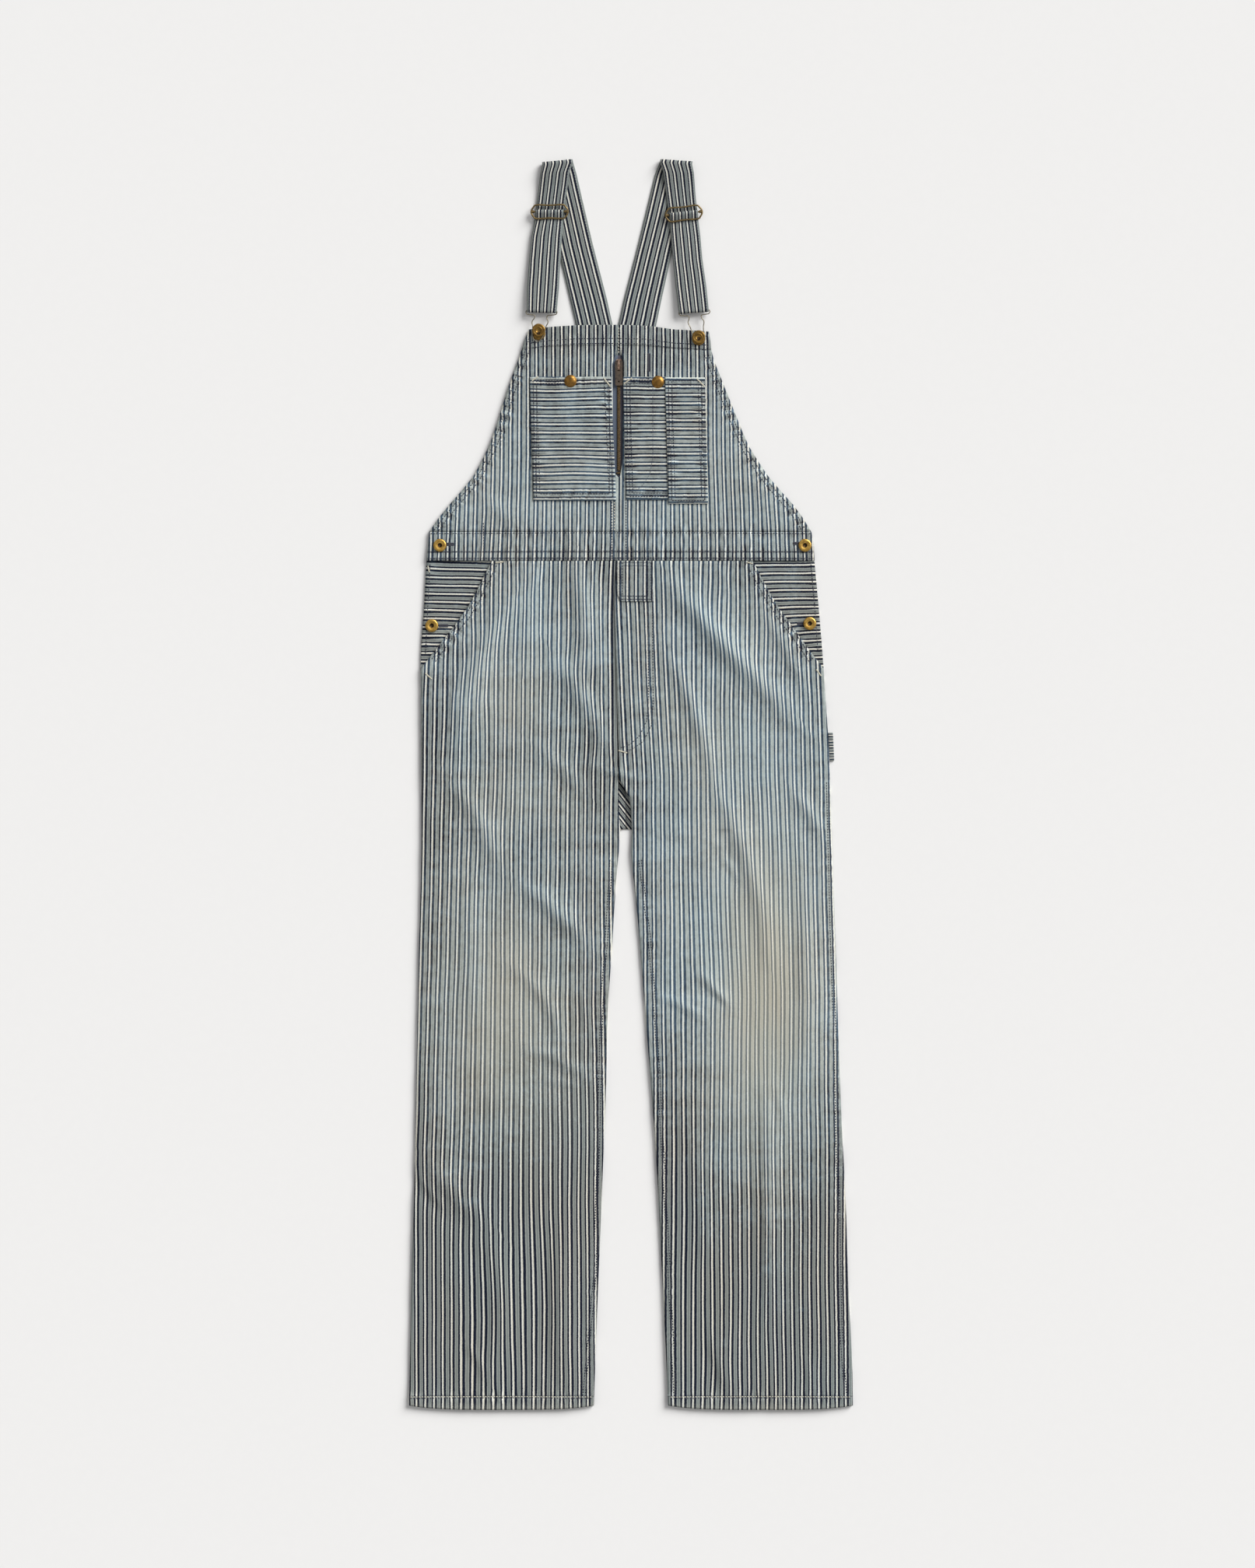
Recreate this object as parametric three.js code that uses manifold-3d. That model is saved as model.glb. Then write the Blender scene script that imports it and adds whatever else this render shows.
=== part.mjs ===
// Hickory-stripe dungarees laid flat on their back, front side up. The straps are folded
// over to the front, run through their sliders and hook on to the bib's buttons.
// Millimetres, +Z up, +Y towards the straps, +X towards the wearer's left side.
// The origin lies on the surface, under the middle of the garment. "down" is the distance
// below the straps' upper folds, and "x" the distance from the middle of the garment.
import * as THREE from "three";
import { mergeVertices } from "three/addons/utils/BufferGeometryUtils.js";
import Module from "manifold-3d";

const wasm = await Module();
wasm.setup();

// Driving dimensions of the cloth.
const LENGTH = 1607;
const CLOTH = 1.2;
const HEM_PLIES = 2.1;
const WAISTBAND_PLIES = 1.8;
const STRAP_PLIES = 1.4;
const TAPE = 1;
const GAP = 0.3;
const ROLL = 22;
const LAP_ROOM = 0.5;

// Levels below the strap folds where one piece ends and the next begins.
const BIB_TOP_LEVEL = 213;
const BIB_HEM_END = 239;
const BACK_TOP = 229.3;
const BIB_END = 479;
const WAIST_START = 479.3;
const WAIST_END = 516;
const LEG_START = 516.3;
const POCKET_END = 655;
const FLY_TAB_END = 568.5;
const CROTCH_FRONT = 798;
const CROTCH_BACK = 861;
const HEM_START = 1592;
const BAND_STEP = 0.6;

// Heights of the layers' undersides above the surface.
const INNER_LAYER = CLOTH + GAP;
const FRONT_LAYER = 2 * CLOTH + 2 * GAP;
const LAP_LAYER = 3 * CLOTH + 3 * GAP + LAP_ROOM;
const HEM_LAYER = HEM_PLIES + GAP;

// Outer edges of the laid garment, the wearer's right and left.
const OUTLINE = [
  { down: 213, right: -128, left: 97 },
  { down: 225, right: -134, left: 101 },
  { down: 250, right: -142, left: 104 },
  { down: 280, right: -153, left: 115 },
  { down: 310, right: -163, left: 127 },
  { down: 340, right: -172, left: 139 },
  { down: 370, right: -183, left: 152 },
  { down: 400, right: -198, left: 171 },
  { down: 415, right: -208, left: 182 },
  { down: 445, right: -234, left: 209 },
  { down: 460, right: -246, left: 220 },
  { down: 475, right: -258, left: 230 },
  { down: 490, right: -260, left: 234 },
  { down: 520, right: -263, left: 236 },
  { down: 575, right: -266, left: 241 },
  { down: 635, right: -270, left: 246 },
  { down: 695, right: -270, left: 250 },
  { down: 755, right: -270, left: 254 },
  { down: 875, right: -269, left: 258 },
  { down: 1045, right: -273, left: 264 },
  { down: 1145, right: -275, left: 267 },
  { down: 1245, right: -277, left: 271 },
  { down: 1345, right: -279, left: 276 },
  { down: 1445, right: -282, left: 279 },
  { down: 1545, right: -284, left: 284 },
  { down: 1607, right: -285, left: 285 },
];

// Inner edges of the two legs below the back crotch.
const INSEAM = [
  { down: 861, right: -14, left: 1 },
  { down: 895, right: -16, left: 0 },
  { down: 945, right: -21, left: 6 },
  { down: 995, right: -23, left: 10 },
  { down: 1095, right: -30, left: 18 },
  { down: 1195, right: -32, left: 26 },
  { down: 1295, right: -36, left: 33 },
  { down: 1395, right: -40, left: 38 },
  { down: 1495, right: -44, left: 43 },
  { down: 1607, right: -48, left: 48 },
];

// Front edges where the two front legs meet: a butt under the fly tab, then the left
// leg laps over the right one down to the crotch, then the legs part.
const FRONT_EDGES = [
  { down: 516, right: -20.1, left: -19.5 },
  { down: 566, right: -21.9, left: -21.3 },
  { down: 574, right: -15, left: -21.2 },
  { down: 759, right: -14.5, left: -16 },
  { down: 774, right: -14.5, left: -15.5 },
  { down: 798, right: -16, left: -15 },
  { down: 806, right: -16.4, left: -8 },
  { down: 820, right: -16.3, left: -2 },
  { down: 840, right: -15.5, left: 0 },
  { down: 861, right: -14.5, left: 1 },
];

// Slanted openings of the hand pockets, from the waistband out to the side seams.
const POCKET_SLANTS = [
  { down: 516, right: -179, left: 156 },
  { down: 561.6, right: -201, left: 180 },
  { down: 585.5, right: -215, left: 195.5 },
  { down: 613.6, right: -238.7, left: 217 },
  { down: 641.6, right: -258.4, left: 236 },
  { down: 654, right: -270, left: 247.5 },
];
const SLANT_LAP = 14;

// Armholes of the back, a little inside the front's, narrowing to the straps at its top.
const BACK_EDGES = [
  { down: 229.3, right: -67, left: 29 },
  { down: 241, right: -89, left: 51 },
  { down: 257, right: -111, left: 73 },
  { down: 280, right: -129, left: 91 },
  { down: 310, right: -147, left: 109 },
  { down: 340, right: -161, left: 127 },
  { down: 370, right: -173, left: 142 },
  { down: 400, right: -189, left: 161 },
  { down: 430, right: -211, left: 185 },
  { down: 455, right: -234, left: 209 },
  { down: 475, right: -251, left: 223 },
  { down: 485, right: -259, left: 233 },
  { down: 516, right: -262.5, left: 235.5 },
];

// Centre edges of the bib's halves: sewn, parted round the zip, and sewn again.
const BIB_CENTRE = [
  { down: 213, right: -16.15, left: -15.85 },
  { down: 254, right: -16.15, left: -15.85 },
  { down: 256, right: -21.5, left: -11 },
  { down: 263, right: -24, left: -10.2 },
  { down: 395, right: -23, left: -11 },
  { down: 405, right: -20, left: -13.5 },
  { down: 409, right: -16.15, left: -15.85 },
  { down: 479, right: -16.15, left: -15.85 },
];

// How far the bib's top edge droops below its level, along its width.
const BIB_DROOP = [
  { x: -131, droop: 6.4 },
  { x: -108, droop: 3 },
  { x: -71, droop: 0.6 },
  { x: -21, droop: 0 },
  { x: 20, droop: 1 },
  { x: 54, droop: 6 },
  { x: 74, droop: 7 },
  { x: 101, droop: 9 },
];
const DROOP_FADE = 60;
const HEM_CORNER_LIFT = 5.5;
const HEM_CORNER_FADE = 90;

// The largest folds of the front, as ridges between two ends, bowed sideways, with the
// distance from the crest where they have sunk to a third, and the height of the crest.
const FOLDS = [
  { x1: -60, down1: 520, x2: -63, down2: 700, bow: 4, half: 12, height: 3 },
  { x1: -150, down1: 570, x2: -226, down2: 780, bow: -16, half: 15, height: 2.4 },
  { x1: -238, down1: 790, x2: -165, down2: 915, bow: 8, half: 17, height: 2.8 },
  { x1: -36, down1: 725, x2: -54, down2: 790, bow: 3, half: 11, height: 2.6 },
  { x1: -140, down1: 930, x2: -52, down2: 1012, bow: 4, half: 15, height: 3.4 },
  { x1: -204, down1: 940, x2: -206, down2: 1095, bow: 3, half: 17, height: 2 },
  { x1: -164, down1: 1030, x2: -88, down2: 1160, bow: 22, half: 12, height: 2 },
  { x1: -138, down1: 1142, x2: -50, down2: 1182, bow: 6, half: 11, height: 2 },
  { x1: -262, down1: 1285, x2: -182, down2: 1365, bow: -5, half: 20, height: 3 },
  { x1: -184, down1: 1385, x2: -178, down2: 1555, bow: 14, half: 18, height: 2.6 },
  { x1: -82, down1: 1350, x2: -84, down2: 1570, bow: -6, half: 15, height: 2 },
  { x1: 50, down1: 535, x2: 208, down2: 712, bow: -7, half: 19, height: 4.6 },
  { x1: 170, down1: 580, x2: 226, down2: 690, bow: 5, half: 11, height: 2.4 },
  { x1: 52, down1: 640, x2: 110, down2: 808, bow: 6, half: 12, height: 3 },
  { x1: 110, down1: 808, x2: 176, down2: 1030, bow: 12, half: 14, height: 3.4 },
  { x1: 208, down1: 812, x2: 246, down2: 870, bow: 3, half: 12, height: 2.6 },
  { x1: 216, down1: 880, x2: 226, down2: 1200, bow: 4, half: 13, height: 2 },
  { x1: 22, down1: 1072, x2: 96, down2: 1106, bow: 5, half: 9, height: 2.4 },
  { x1: 86, down1: 1046, x2: 126, down2: 1086, bow: 3, half: 8, height: 2.2 },
  { x1: 174, down1: 1195, x2: 173, down2: 1490, bow: 3, half: 13, height: 3.2 },
  { x1: 84, down1: 1240, x2: 92, down2: 1450, bow: 5, half: 15, height: 1.6 },
  { x1: 120, down1: 1500, x2: 128, down2: 1585, bow: -3, half: 15, height: 1.8 },
  { x1: -190, down1: 430, x2: -150, down2: 470, bow: 2, half: 13, height: 1.6 },
  { x1: 168, down1: 385, x2: 178, down2: 478, bow: -4, half: 10, height: 1.8 },
];
const FOLD_PARTS = 8;

// Colours of the finishes.
const HICKORY = 0x8193a0;
const HICKORY_DARK = 0x56637a;
const ZIP_TAPE = 0x59637c;
const BRASS = 0xc39a45;
const OLD_BRASS = 0x7b6742;

const level = (down) => LENGTH / 2 - down;
const clamp = (value) => Math.min(Math.max(value, 0), 1);
const ease = (value) => clamp(value) ** 2 * (3 - 2 * clamp(value));
const mix = (a, b, share) => a + (b - a) * share;

// Reads one column of a table at any place between its rows, along straight lines.
function column(rows, key, place = "down") {
  return (at) => {
    const next = rows.findIndex((row) => row[place] >= at);
    if (next === 0) return rows[0][key];
    if (next < 0) return rows[rows.length - 1][key];
    const before = rows[next - 1];
    const after = rows[next];
    return mix(before[key], after[key], (at - before[place]) / (after[place] - before[place]));
  };
}

// Reads a column in the same way, along a curve that runs smoothly through the rows.
function curve(rows, key) {
  const straight = column(rows, key);
  const slope = (index) => {
    const before = rows[Math.max(index - 1, 0)];
    const after = rows[Math.min(index + 1, rows.length - 1)];
    return (after[key] - before[key]) / (after.down - before.down);
  };
  return (at) => {
    const next = rows.findIndex((row) => row.down > at);
    if (next <= 0) return straight(at);
    const run = rows[next].down - rows[next - 1].down;
    const share = (at - rows[next - 1].down) / run;
    const bend = slope(next - 1) * (1 - share) - slope(next) * share;
    const rise = (rows[next][key] - rows[next - 1][key]) * (1 - 2 * share);
    return straight(at) + share * (1 - share) * (bend * run - rise);
  };
}

// Levels from mark to mark, each stretch cut into equal steps no longer than the given one.
function stations(marks, step) {
  const levels = [marks[0]];
  for (let index = 1; index < marks.length; index += 1) {
    const run = marks[index] - marks[index - 1];
    const parts = Math.ceil(run / step);
    for (let part = 1; part <= parts; part += 1) levels.push(marks[index - 1] + (run * part) / parts);
  }
  return levels;
}

// Points along each fold's crest, with the share of its height that it has there.
const crests = FOLDS.map((fold) => {
  const across = new THREE.Vector2(fold.down2 - fold.down1, fold.x1 - fold.x2).normalize();
  const points = [];
  for (let part = 0; part <= FOLD_PARTS; part += 1) {
    const share = part / FOLD_PARTS;
    const bow = fold.bow * 4 * share * (1 - share);
    points.push({
      x: mix(fold.x1, fold.x2, share) + across.x * bow,
      down: mix(fold.down1, fold.down2, share) + across.y * bow,
      swell: Math.sin(Math.PI * mix(0.12, 0.88, share)),
    });
  }
  return { points, half: fold.half, height: fold.height };
});

// Rise of all the folds together at one place.
function folds(x, down) {
  let rise = 0;
  for (const { points, half, height } of crests) {
    let best = 0;
    for (let index = 1; index < points.length; index += 1) {
      const a = points[index - 1];
      const b = points[index];
      const [dx, dd] = [b.x - a.x, b.down - a.down];
      const share = clamp(((x - a.x) * dx + (down - a.down) * dd) / (dx * dx + dd * dd));
      const away = Math.hypot(x - mix(a.x, b.x, share), down - mix(a.down, b.down, share)) / half;
      best = Math.max(best, mix(a.swell, b.swell, share) * Math.exp(-away * away));
    }
    rise += height * best;
  }
  return rise;
}

// A named mesh with its own material.
function piece(name, geometry, colour, metalness = 0) {
  const roughness = metalness > 0 ? 0.35 : 0.9;
  const finish = new THREE.MeshStandardMaterial({ color: colour, roughness, metalness });
  const mesh = new THREE.Mesh(geometry, finish);
  mesh.name = name;
  return mesh;
}

// Closed wall between two grids of points. Rows run down the piece, columns towards +X.
function wall(lower, upper) {
  const rows = upper.length;
  const columns = upper[0].length;
  const low = (row, place) => row * columns + place;
  const up = (row, place) => rows * columns + low(row, place);
  const faces = [];
  const quad = (a, b, c, d) => faces.push(a, b, c, a, c, d);
  for (let row = 0; row < rows - 1; row += 1) {
    for (let place = 0; place < columns - 1; place += 1) {
      quad(up(row, place), up(row + 1, place), up(row + 1, place + 1), up(row, place + 1));
      quad(low(row, place), low(row, place + 1), low(row + 1, place + 1), low(row + 1, place));
    }
    const last = columns - 1;
    quad(up(row, 0), low(row, 0), low(row + 1, 0), up(row + 1, 0));
    quad(up(row, last), up(row + 1, last), low(row + 1, last), low(row, last));
  }
  for (let place = 0; place < columns - 1; place += 1) {
    const last = rows - 1;
    quad(up(0, place), up(0, place + 1), low(0, place + 1), low(0, place));
    quad(up(last, place), low(last, place), low(last, place + 1), up(last, place + 1));
  }
  const geometry = new THREE.BufferGeometry();
  const points = [...lower.flat(), ...upper.flat()].flatMap((point) => point.toArray());
  geometry.setAttribute("position", new THREE.Float32BufferAttribute(points, 3));
  geometry.setIndex(faces);
  geometry.computeVertexNormals();
  return geometry;
}

// A flat-laid piece of cloth. Its cut gives the left and right edges, the underside's
// height and the thickness at any level, and how far its ends droop.
function panel(name, cut, colour = HICKORY) {
  const { marks, step, columns, left, right, under, thick, droop = () => 0 } = cut;
  const lower = [];
  const upper = [];
  for (const nominal of stations(marks, step)) {
    const lowRow = [];
    const highRow = [];
    for (let place = 0; place <= columns; place += 1) {
      const share = place / columns;
      const down = nominal + droop(mix(left(nominal), right(nominal), share), nominal, share);
      const x = mix(left(down), right(down), share);
      const height = under(x, down);
      lowRow.push(new THREE.Vector3(x, level(down), height));
      highRow.push(new THREE.Vector3(x, level(down), height + thick(nominal)));
    }
    lower.push(lowRow);
    upper.push(highRow);
  }
  return piece(name, wall(lower, upper), colour);
}

// Underside of a front piece: its edges lie at their own heights, and the cloth rolls up
// from them to its middle height and its folds.
function drape(left, right, lifts) {
  const leftLift = column(lifts, "left");
  const rightLift = column(lifts, "right");
  const middleLift = column(lifts, "middle");
  return (x, down) => {
    const fromLeft = ease((x - left(down)) / ROLL);
    const fromRight = ease((right(down) - x) / ROLL);
    const middle = middleLift(down) + folds(x, down);
    const inner = mix(rightLift(down), middle, fromRight);
    return mix(leftLift(down), inner, fromLeft);
  };
}

const outerRight = curve(OUTLINE, "right");
const outerLeft = curve(OUTLINE, "left");
const seamRight = curve(INSEAM, "right");
const seamLeft = curve(INSEAM, "left");
const slantRight = column(POCKET_SLANTS, "right");
const slantLeft = column(POCKET_SLANTS, "left");
const single = () => CLOTH;
const onFloor = () => 0;

// Back of the body, one layer flat on the surface.
const backBody = {
  marks: [BACK_TOP, WAIST_END],
  step: 18,
  columns: 2,
  left: curve(BACK_EDGES, "right"),
  right: curve(BACK_EDGES, "left"),
  under: onFloor,
  thick: single,
};

const turnedHem = column([
  { down: HEM_START, thick: CLOTH },
  { down: HEM_START + BAND_STEP, thick: HEM_PLIES },
], "thick");
const hemCorners = (x, down, share) => {
  const corner = Math.abs(2 * share - 1) ** 4;
  return -HEM_CORNER_LIFT * corner * ease((down - LENGTH + HEM_CORNER_FADE) / HEM_CORNER_FADE);
};
const legMarks = [CROTCH_BACK, CROTCH_BACK + BAND_STEP, HEM_START, HEM_START + BAND_STEP, LENGTH];

// Backs of the legs, joined in the centre seam down to the crotch.
const CENTRE_SEAM = -7;
function backLeg(outer, inseam, side) {
  const centre = CENTRE_SEAM + (side * GAP) / 2;
  const inner = (down) => (down <= CROTCH_BACK ? centre : inseam(down));
  return {
    marks: [LEG_START, ...legMarks],
    step: 60,
    columns: 2,
    left: side < 0 ? outer : inner,
    right: side < 0 ? inner : outer,
    under: onFloor,
    thick: turnedHem,
    droop: hemCorners,
  };
}

// Fronts of the legs, cut away along the hand pockets.
const frontRightEdge = column(FRONT_EDGES, "right");
const frontLeftEdge = column(FRONT_EDGES, "left");
const rightLegInner = (down) => (down < CROTCH_BACK ? frontRightEdge(down) : seamRight(down));
const leftLegInner = (down) => (down < CROTCH_BACK ? frontLeftEdge(down) : seamLeft(down));
const rightLegOuter = (down) => Math.max(outerRight(down), down < POCKET_END ? slantRight(down) : -LENGTH);
const leftLegOuter = (down) => Math.min(outerLeft(down), down < POCKET_END ? slantLeft(down) : LENGTH);
const rightLegLifts = [
  { down: LEG_START, left: FRONT_LAYER, middle: FRONT_LAYER, right: FRONT_LAYER },
  { down: POCKET_END + 5, left: FRONT_LAYER, middle: FRONT_LAYER, right: FRONT_LAYER },
  { down: POCKET_END + 40, left: INNER_LAYER, middle: FRONT_LAYER, right: FRONT_LAYER },
  { down: CROTCH_FRONT, left: INNER_LAYER, middle: FRONT_LAYER, right: FRONT_LAYER },
  { down: CROTCH_BACK, left: INNER_LAYER, middle: FRONT_LAYER, right: INNER_LAYER },
  { down: HEM_START - 20, left: INNER_LAYER, middle: FRONT_LAYER, right: INNER_LAYER },
  { down: HEM_START, left: HEM_LAYER, middle: HEM_LAYER, right: HEM_LAYER },
];
const leftLegLifts = [
  { down: LEG_START, left: FRONT_LAYER, middle: FRONT_LAYER, right: FRONT_LAYER },
  { down: FLY_TAB_END - 10, left: LAP_LAYER, middle: FRONT_LAYER, right: FRONT_LAYER },
  { down: POCKET_END + 5, left: LAP_LAYER, middle: FRONT_LAYER, right: FRONT_LAYER },
  { down: POCKET_END + 40, left: LAP_LAYER, middle: FRONT_LAYER, right: INNER_LAYER },
  { down: CROTCH_FRONT, left: LAP_LAYER, middle: FRONT_LAYER, right: INNER_LAYER },
  { down: CROTCH_BACK, left: INNER_LAYER, middle: FRONT_LAYER, right: INNER_LAYER },
  { down: HEM_START - 20, left: INNER_LAYER, middle: FRONT_LAYER, right: INNER_LAYER },
  { down: HEM_START, left: HEM_LAYER, middle: HEM_LAYER, right: HEM_LAYER },
];
const frontLegMarks = [LEG_START, FLY_TAB_END, FLY_TAB_END + 6, POCKET_END, CROTCH_FRONT, 820, ...legMarks];
const FRONT_STEP = 30;
const FRONT_COLUMNS = 14;

function frontLeg(left, right, lifts) {
  return {
    marks: frontLegMarks,
    step: FRONT_STEP,
    columns: FRONT_COLUMNS,
    left,
    right,
    under: drape(left, right, lifts),
    thick: turnedHem,
    droop: hemCorners,
  };
}
const rightLeg = frontLeg(rightLegOuter, rightLegInner, rightLegLifts);
const leftLeg = frontLeg(leftLegInner, leftLegOuter, leftLegLifts);

// Top surface of a piece, for what lies on it.
const topOf = (cut) => (x, down) => cut.under(x, down) + cut.thick(down);

// Facings that fill the hand pockets' openings, tucked under the slanted edges.
function pocketFacing(left, right) {
  return {
    marks: [LEG_START, POCKET_END],
    step: 15,
    columns: 2,
    left,
    right,
    under: () => INNER_LAYER,
    thick: single,
  };
}

// The two halves of the bib, with a turned hem along the top.
const bibDroop = column(BIB_DROOP, "droop", "x");
const sagOfBib = (x, down) => bibDroop(x) * (1 - ease((down - BIB_TOP_LEVEL) / DROOP_FADE));
const bibPlies = column([
  { down: BIB_HEM_END, thick: HEM_PLIES },
  { down: BIB_HEM_END + BAND_STEP, thick: CLOTH },
], "thick");
const BIB_HEM_LAYER = FRONT_LAYER + CLOTH - HEM_PLIES;
function bibHalf(left, right, side) {
  const open = { left: side < 0 ? INNER_LAYER : FRONT_LAYER, right: side < 0 ? FRONT_LAYER : INNER_LAYER };
  const hem = { left: Math.min(open.left, BIB_HEM_LAYER), right: Math.min(open.right, BIB_HEM_LAYER) };
  const lifts = [
    { down: BIB_HEM_END + 8, ...hem, middle: BIB_HEM_LAYER },
    { down: BIB_HEM_END + 8 + BAND_STEP, ...open, middle: FRONT_LAYER },
  ];
  return {
    marks: [BIB_TOP_LEVEL, BIB_HEM_END, BIB_HEM_END + BAND_STEP, 256, 263, 405, 409, BIB_END],
    step: 18,
    columns: 8,
    left,
    right,
    under: drape(left, right, lifts),
    thick: bibPlies,
    droop: sagOfBib,
  };
}
const rightBib = bibHalf(outerRight, column(BIB_CENTRE, "right"), -1);
const leftBib = bibHalf(column(BIB_CENTRE, "left"), outerLeft, 1);

// Waistband across the front, two plies.
const waistband = {
  marks: [WAIST_START, WAIST_END],
  step: 13,
  columns: 22,
  left: outerRight,
  right: outerLeft,
  under: drape(outerRight, outerLeft, [
    { down: WAIST_START, left: INNER_LAYER, middle: FRONT_LAYER - GAP, right: INNER_LAYER },
    { down: WAIST_END, left: INNER_LAYER, middle: FRONT_LAYER - GAP, right: INNER_LAYER },
  ]),
  thick: () => WAISTBAND_PLIES,
};

// Zip tape between the bib's halves and the back.
const zipTape = {
  marks: [252, 411],
  step: 53,
  columns: 1,
  left: () => -31,
  right: () => -3,
  under: () => INNER_LAYER,
  thick: () => TAPE,
};

// Patch pieces lie on their carrier, cut with straight sides between their corners.
function patch(carrier, corners, step, columns, extra = () => 0) {
  const top = topOf(carrier);
  const left = column(corners, "left");
  const right = column(corners, "right");
  return {
    marks: [corners[0].down, corners[corners.length - 1].down],
    step,
    columns,
    left,
    right,
    under: (x, down) => top(x, down) + GAP + extra(x, down),
    thick: single,
  };
}
const rightPocket = patch(rightBib, [
  { down: 280, left: -130, right: -25.7 },
  { down: 439, left: -125.5, right: -19.2 },
], 20, 7);
const leftPocketCorners = [
  { down: 280, left: -10.2, right: 50 },
  { down: 438, left: -6.5, right: 55 },
];
const leftPocket = patch(leftBib, leftPocketCorners, 20, 5);
const leftPocketEdge = column(leftPocketCorners, "right");
const PEN_RAMP = 12;
const overPocketEdge = (x, down) => (CLOTH + GAP) * (1 - ease((x - leftPocketEdge(down) - 1) / PEN_RAMP));
const penPocket = patch(leftBib, [
  { down: 281, left: 43.7, right: 94.7 },
  { down: 443, left: 48, right: 99 },
], 20, 6, overPocketEdge);
const flyTab = patch(leftLeg, [
  { down: LEG_START, left: -17.6, right: 28.3 },
  { down: 560, left: -17.6, right: 28.3 },
  { down: FLY_TAB_END, left: -13, right: 28.3 },
], 8, 4);
flyTab.marks = [LEG_START, 560, FLY_TAB_END];

// Hammer loop, folded flat and caught in the left side seam.
const HAMMER_LOOP = { start: 737, end: 773, reach: 6 };
const hammerLoop = {
  marks: [HAMMER_LOOP.start, HAMMER_LOOP.end],
  step: 12,
  columns: 1,
  left: (down) => outerLeft(down) + GAP,
  right: (down) => outerLeft(down) + GAP + HAMMER_LOOP.reach,
  under: onFloor,
  thick: () => HEM_PLIES,
};

// Straps. Each goes from the back up over its fold, down the front behind the slider,
// round the hook's bar and up again to the slider's middle bar.
const WIRE = 1.1;
const HOOK_WIRE = 0.9;
const FOLD_RADIUS = 3.5;
const BACK_RUN_HEIGHT = STRAP_PLIES / 2;
const REAR_HEIGHT = 1.5 * STRAP_PLIES + GAP;
const RETURN_HEIGHT = REAR_HEIGHT + STRAP_PLIES + GAP;
const BAR_WRAP = WIRE + GAP + STRAP_PLIES / 2;
const HOOK_WRAP = HOOK_WIRE + GAP + STRAP_PLIES / 2;
const SLIDER_HEIGHT = RETURN_HEIGHT + BAR_WRAP;
const HOOK_HEIGHT = 6.6;

// Edges of each strap along its back run and its two front runs. "tilt" is how much
// higher its left-hand edge in this view lies than its right-hand one.
const STRAPS = {
  right: {
    fold: 2.7,
    slider: { down: 68, x: -104.5, turn: 0.01 },
    hook: { down: 195.4, x: -114.6, turn: -0.02 },
    button: { down: 220.5, x: -118.5, lean: 4 },
    back: [
      { down: 0, left: -114.5, right: -76, tilt: -4 },
      { down: 20, left: -112.5, right: -70, tilt: -3 },
      { down: 95, left: -98, right: -53, tilt: -2 },
      { down: 195, left: -75, right: -27, tilt: 0 },
      { down: 229, left: -67, right: -20.2, tilt: 0 },
    ],
    rear: [
      { down: 0, left: -114.5, right: -76, tilt: -4 },
      { down: 60, left: -121.5, right: -85, tilt: -1 },
      { down: 90, left: -126, right: -88, tilt: 0 },
      { down: 135, left: -131.5, right: -91, tilt: 0 },
      { down: 188, left: -134.7, right: -93.6, tilt: 1 },
      { down: 199, left: -133, right: -96, tilt: 1 },
    ],
    front: [
      { down: 60, left: -122.3, right: -86.7, tilt: 0 },
      { down: 80, left: -122.8, right: -87.2, tilt: 0 },
      { down: 95, left: -127.5, right: -88.5, tilt: 0 },
      { down: 135, left: -131.5, right: -91, tilt: 0 },
      { down: 188, left: -134.7, right: -93.6, tilt: 1 },
      { down: 199, left: -133, right: -96, tilt: 1 },
    ],
  },
  left: {
    fold: 2.2,
    slider: { down: 70.3, x: 67.8, turn: 0.11 },
    hook: { down: 195.6, x: 81, turn: 0.07 },
    button: { down: 229, x: 86.8, lean: 2 },
    back: [
      { down: 0, left: 39, right: 79.5, tilt: 3 },
      { down: 20, left: 31, right: 76, tilt: 2 },
      { down: 95, left: 13, right: 58, tilt: 1 },
      { down: 195, left: -13, right: 36, tilt: 0 },
      { down: 229, left: -19.8, right: 29, tilt: 0 },
    ],
    rear: [
      { down: 0, left: 39, right: 79.5, tilt: 3 },
      { down: 62, left: 47.4, right: 84, tilt: -4 },
      { down: 92, left: 50.5, right: 88, tilt: -4 },
      { down: 135, left: 54.5, right: 92, tilt: -3.5 },
      { down: 189, left: 60, right: 100.4, tilt: -3 },
      { down: 200, left: 62.5, right: 99.5, tilt: -3 },
    ],
    front: [
      { down: 62, left: 49.8, right: 85.4, tilt: -4 },
      { down: 82, left: 50.4, right: 86, tilt: -4 },
      { down: 97, left: 51.4, right: 88.7, tilt: -4 },
      { down: 135, left: 54.5, right: 92, tilt: -3.5 },
      { down: 189, left: 60, right: 100.4, tilt: -3 },
      { down: 200, left: 62.5, right: 99.5, tilt: -3 },
    ],
  },
};

// Stations on an arc of a strap's side view, round a centre, angles from +down to +height.
function arc(run, down, height, radius, from, to, parts) {
  const list = [];
  for (let part = 0; part <= parts; part += 1) {
    const angle = THREE.MathUtils.degToRad(mix(from, to, part / parts));
    list.push({ run, down: down + radius * Math.cos(angle), height: height + radius * Math.sin(angle) });
  }
  return list;
}

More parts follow.
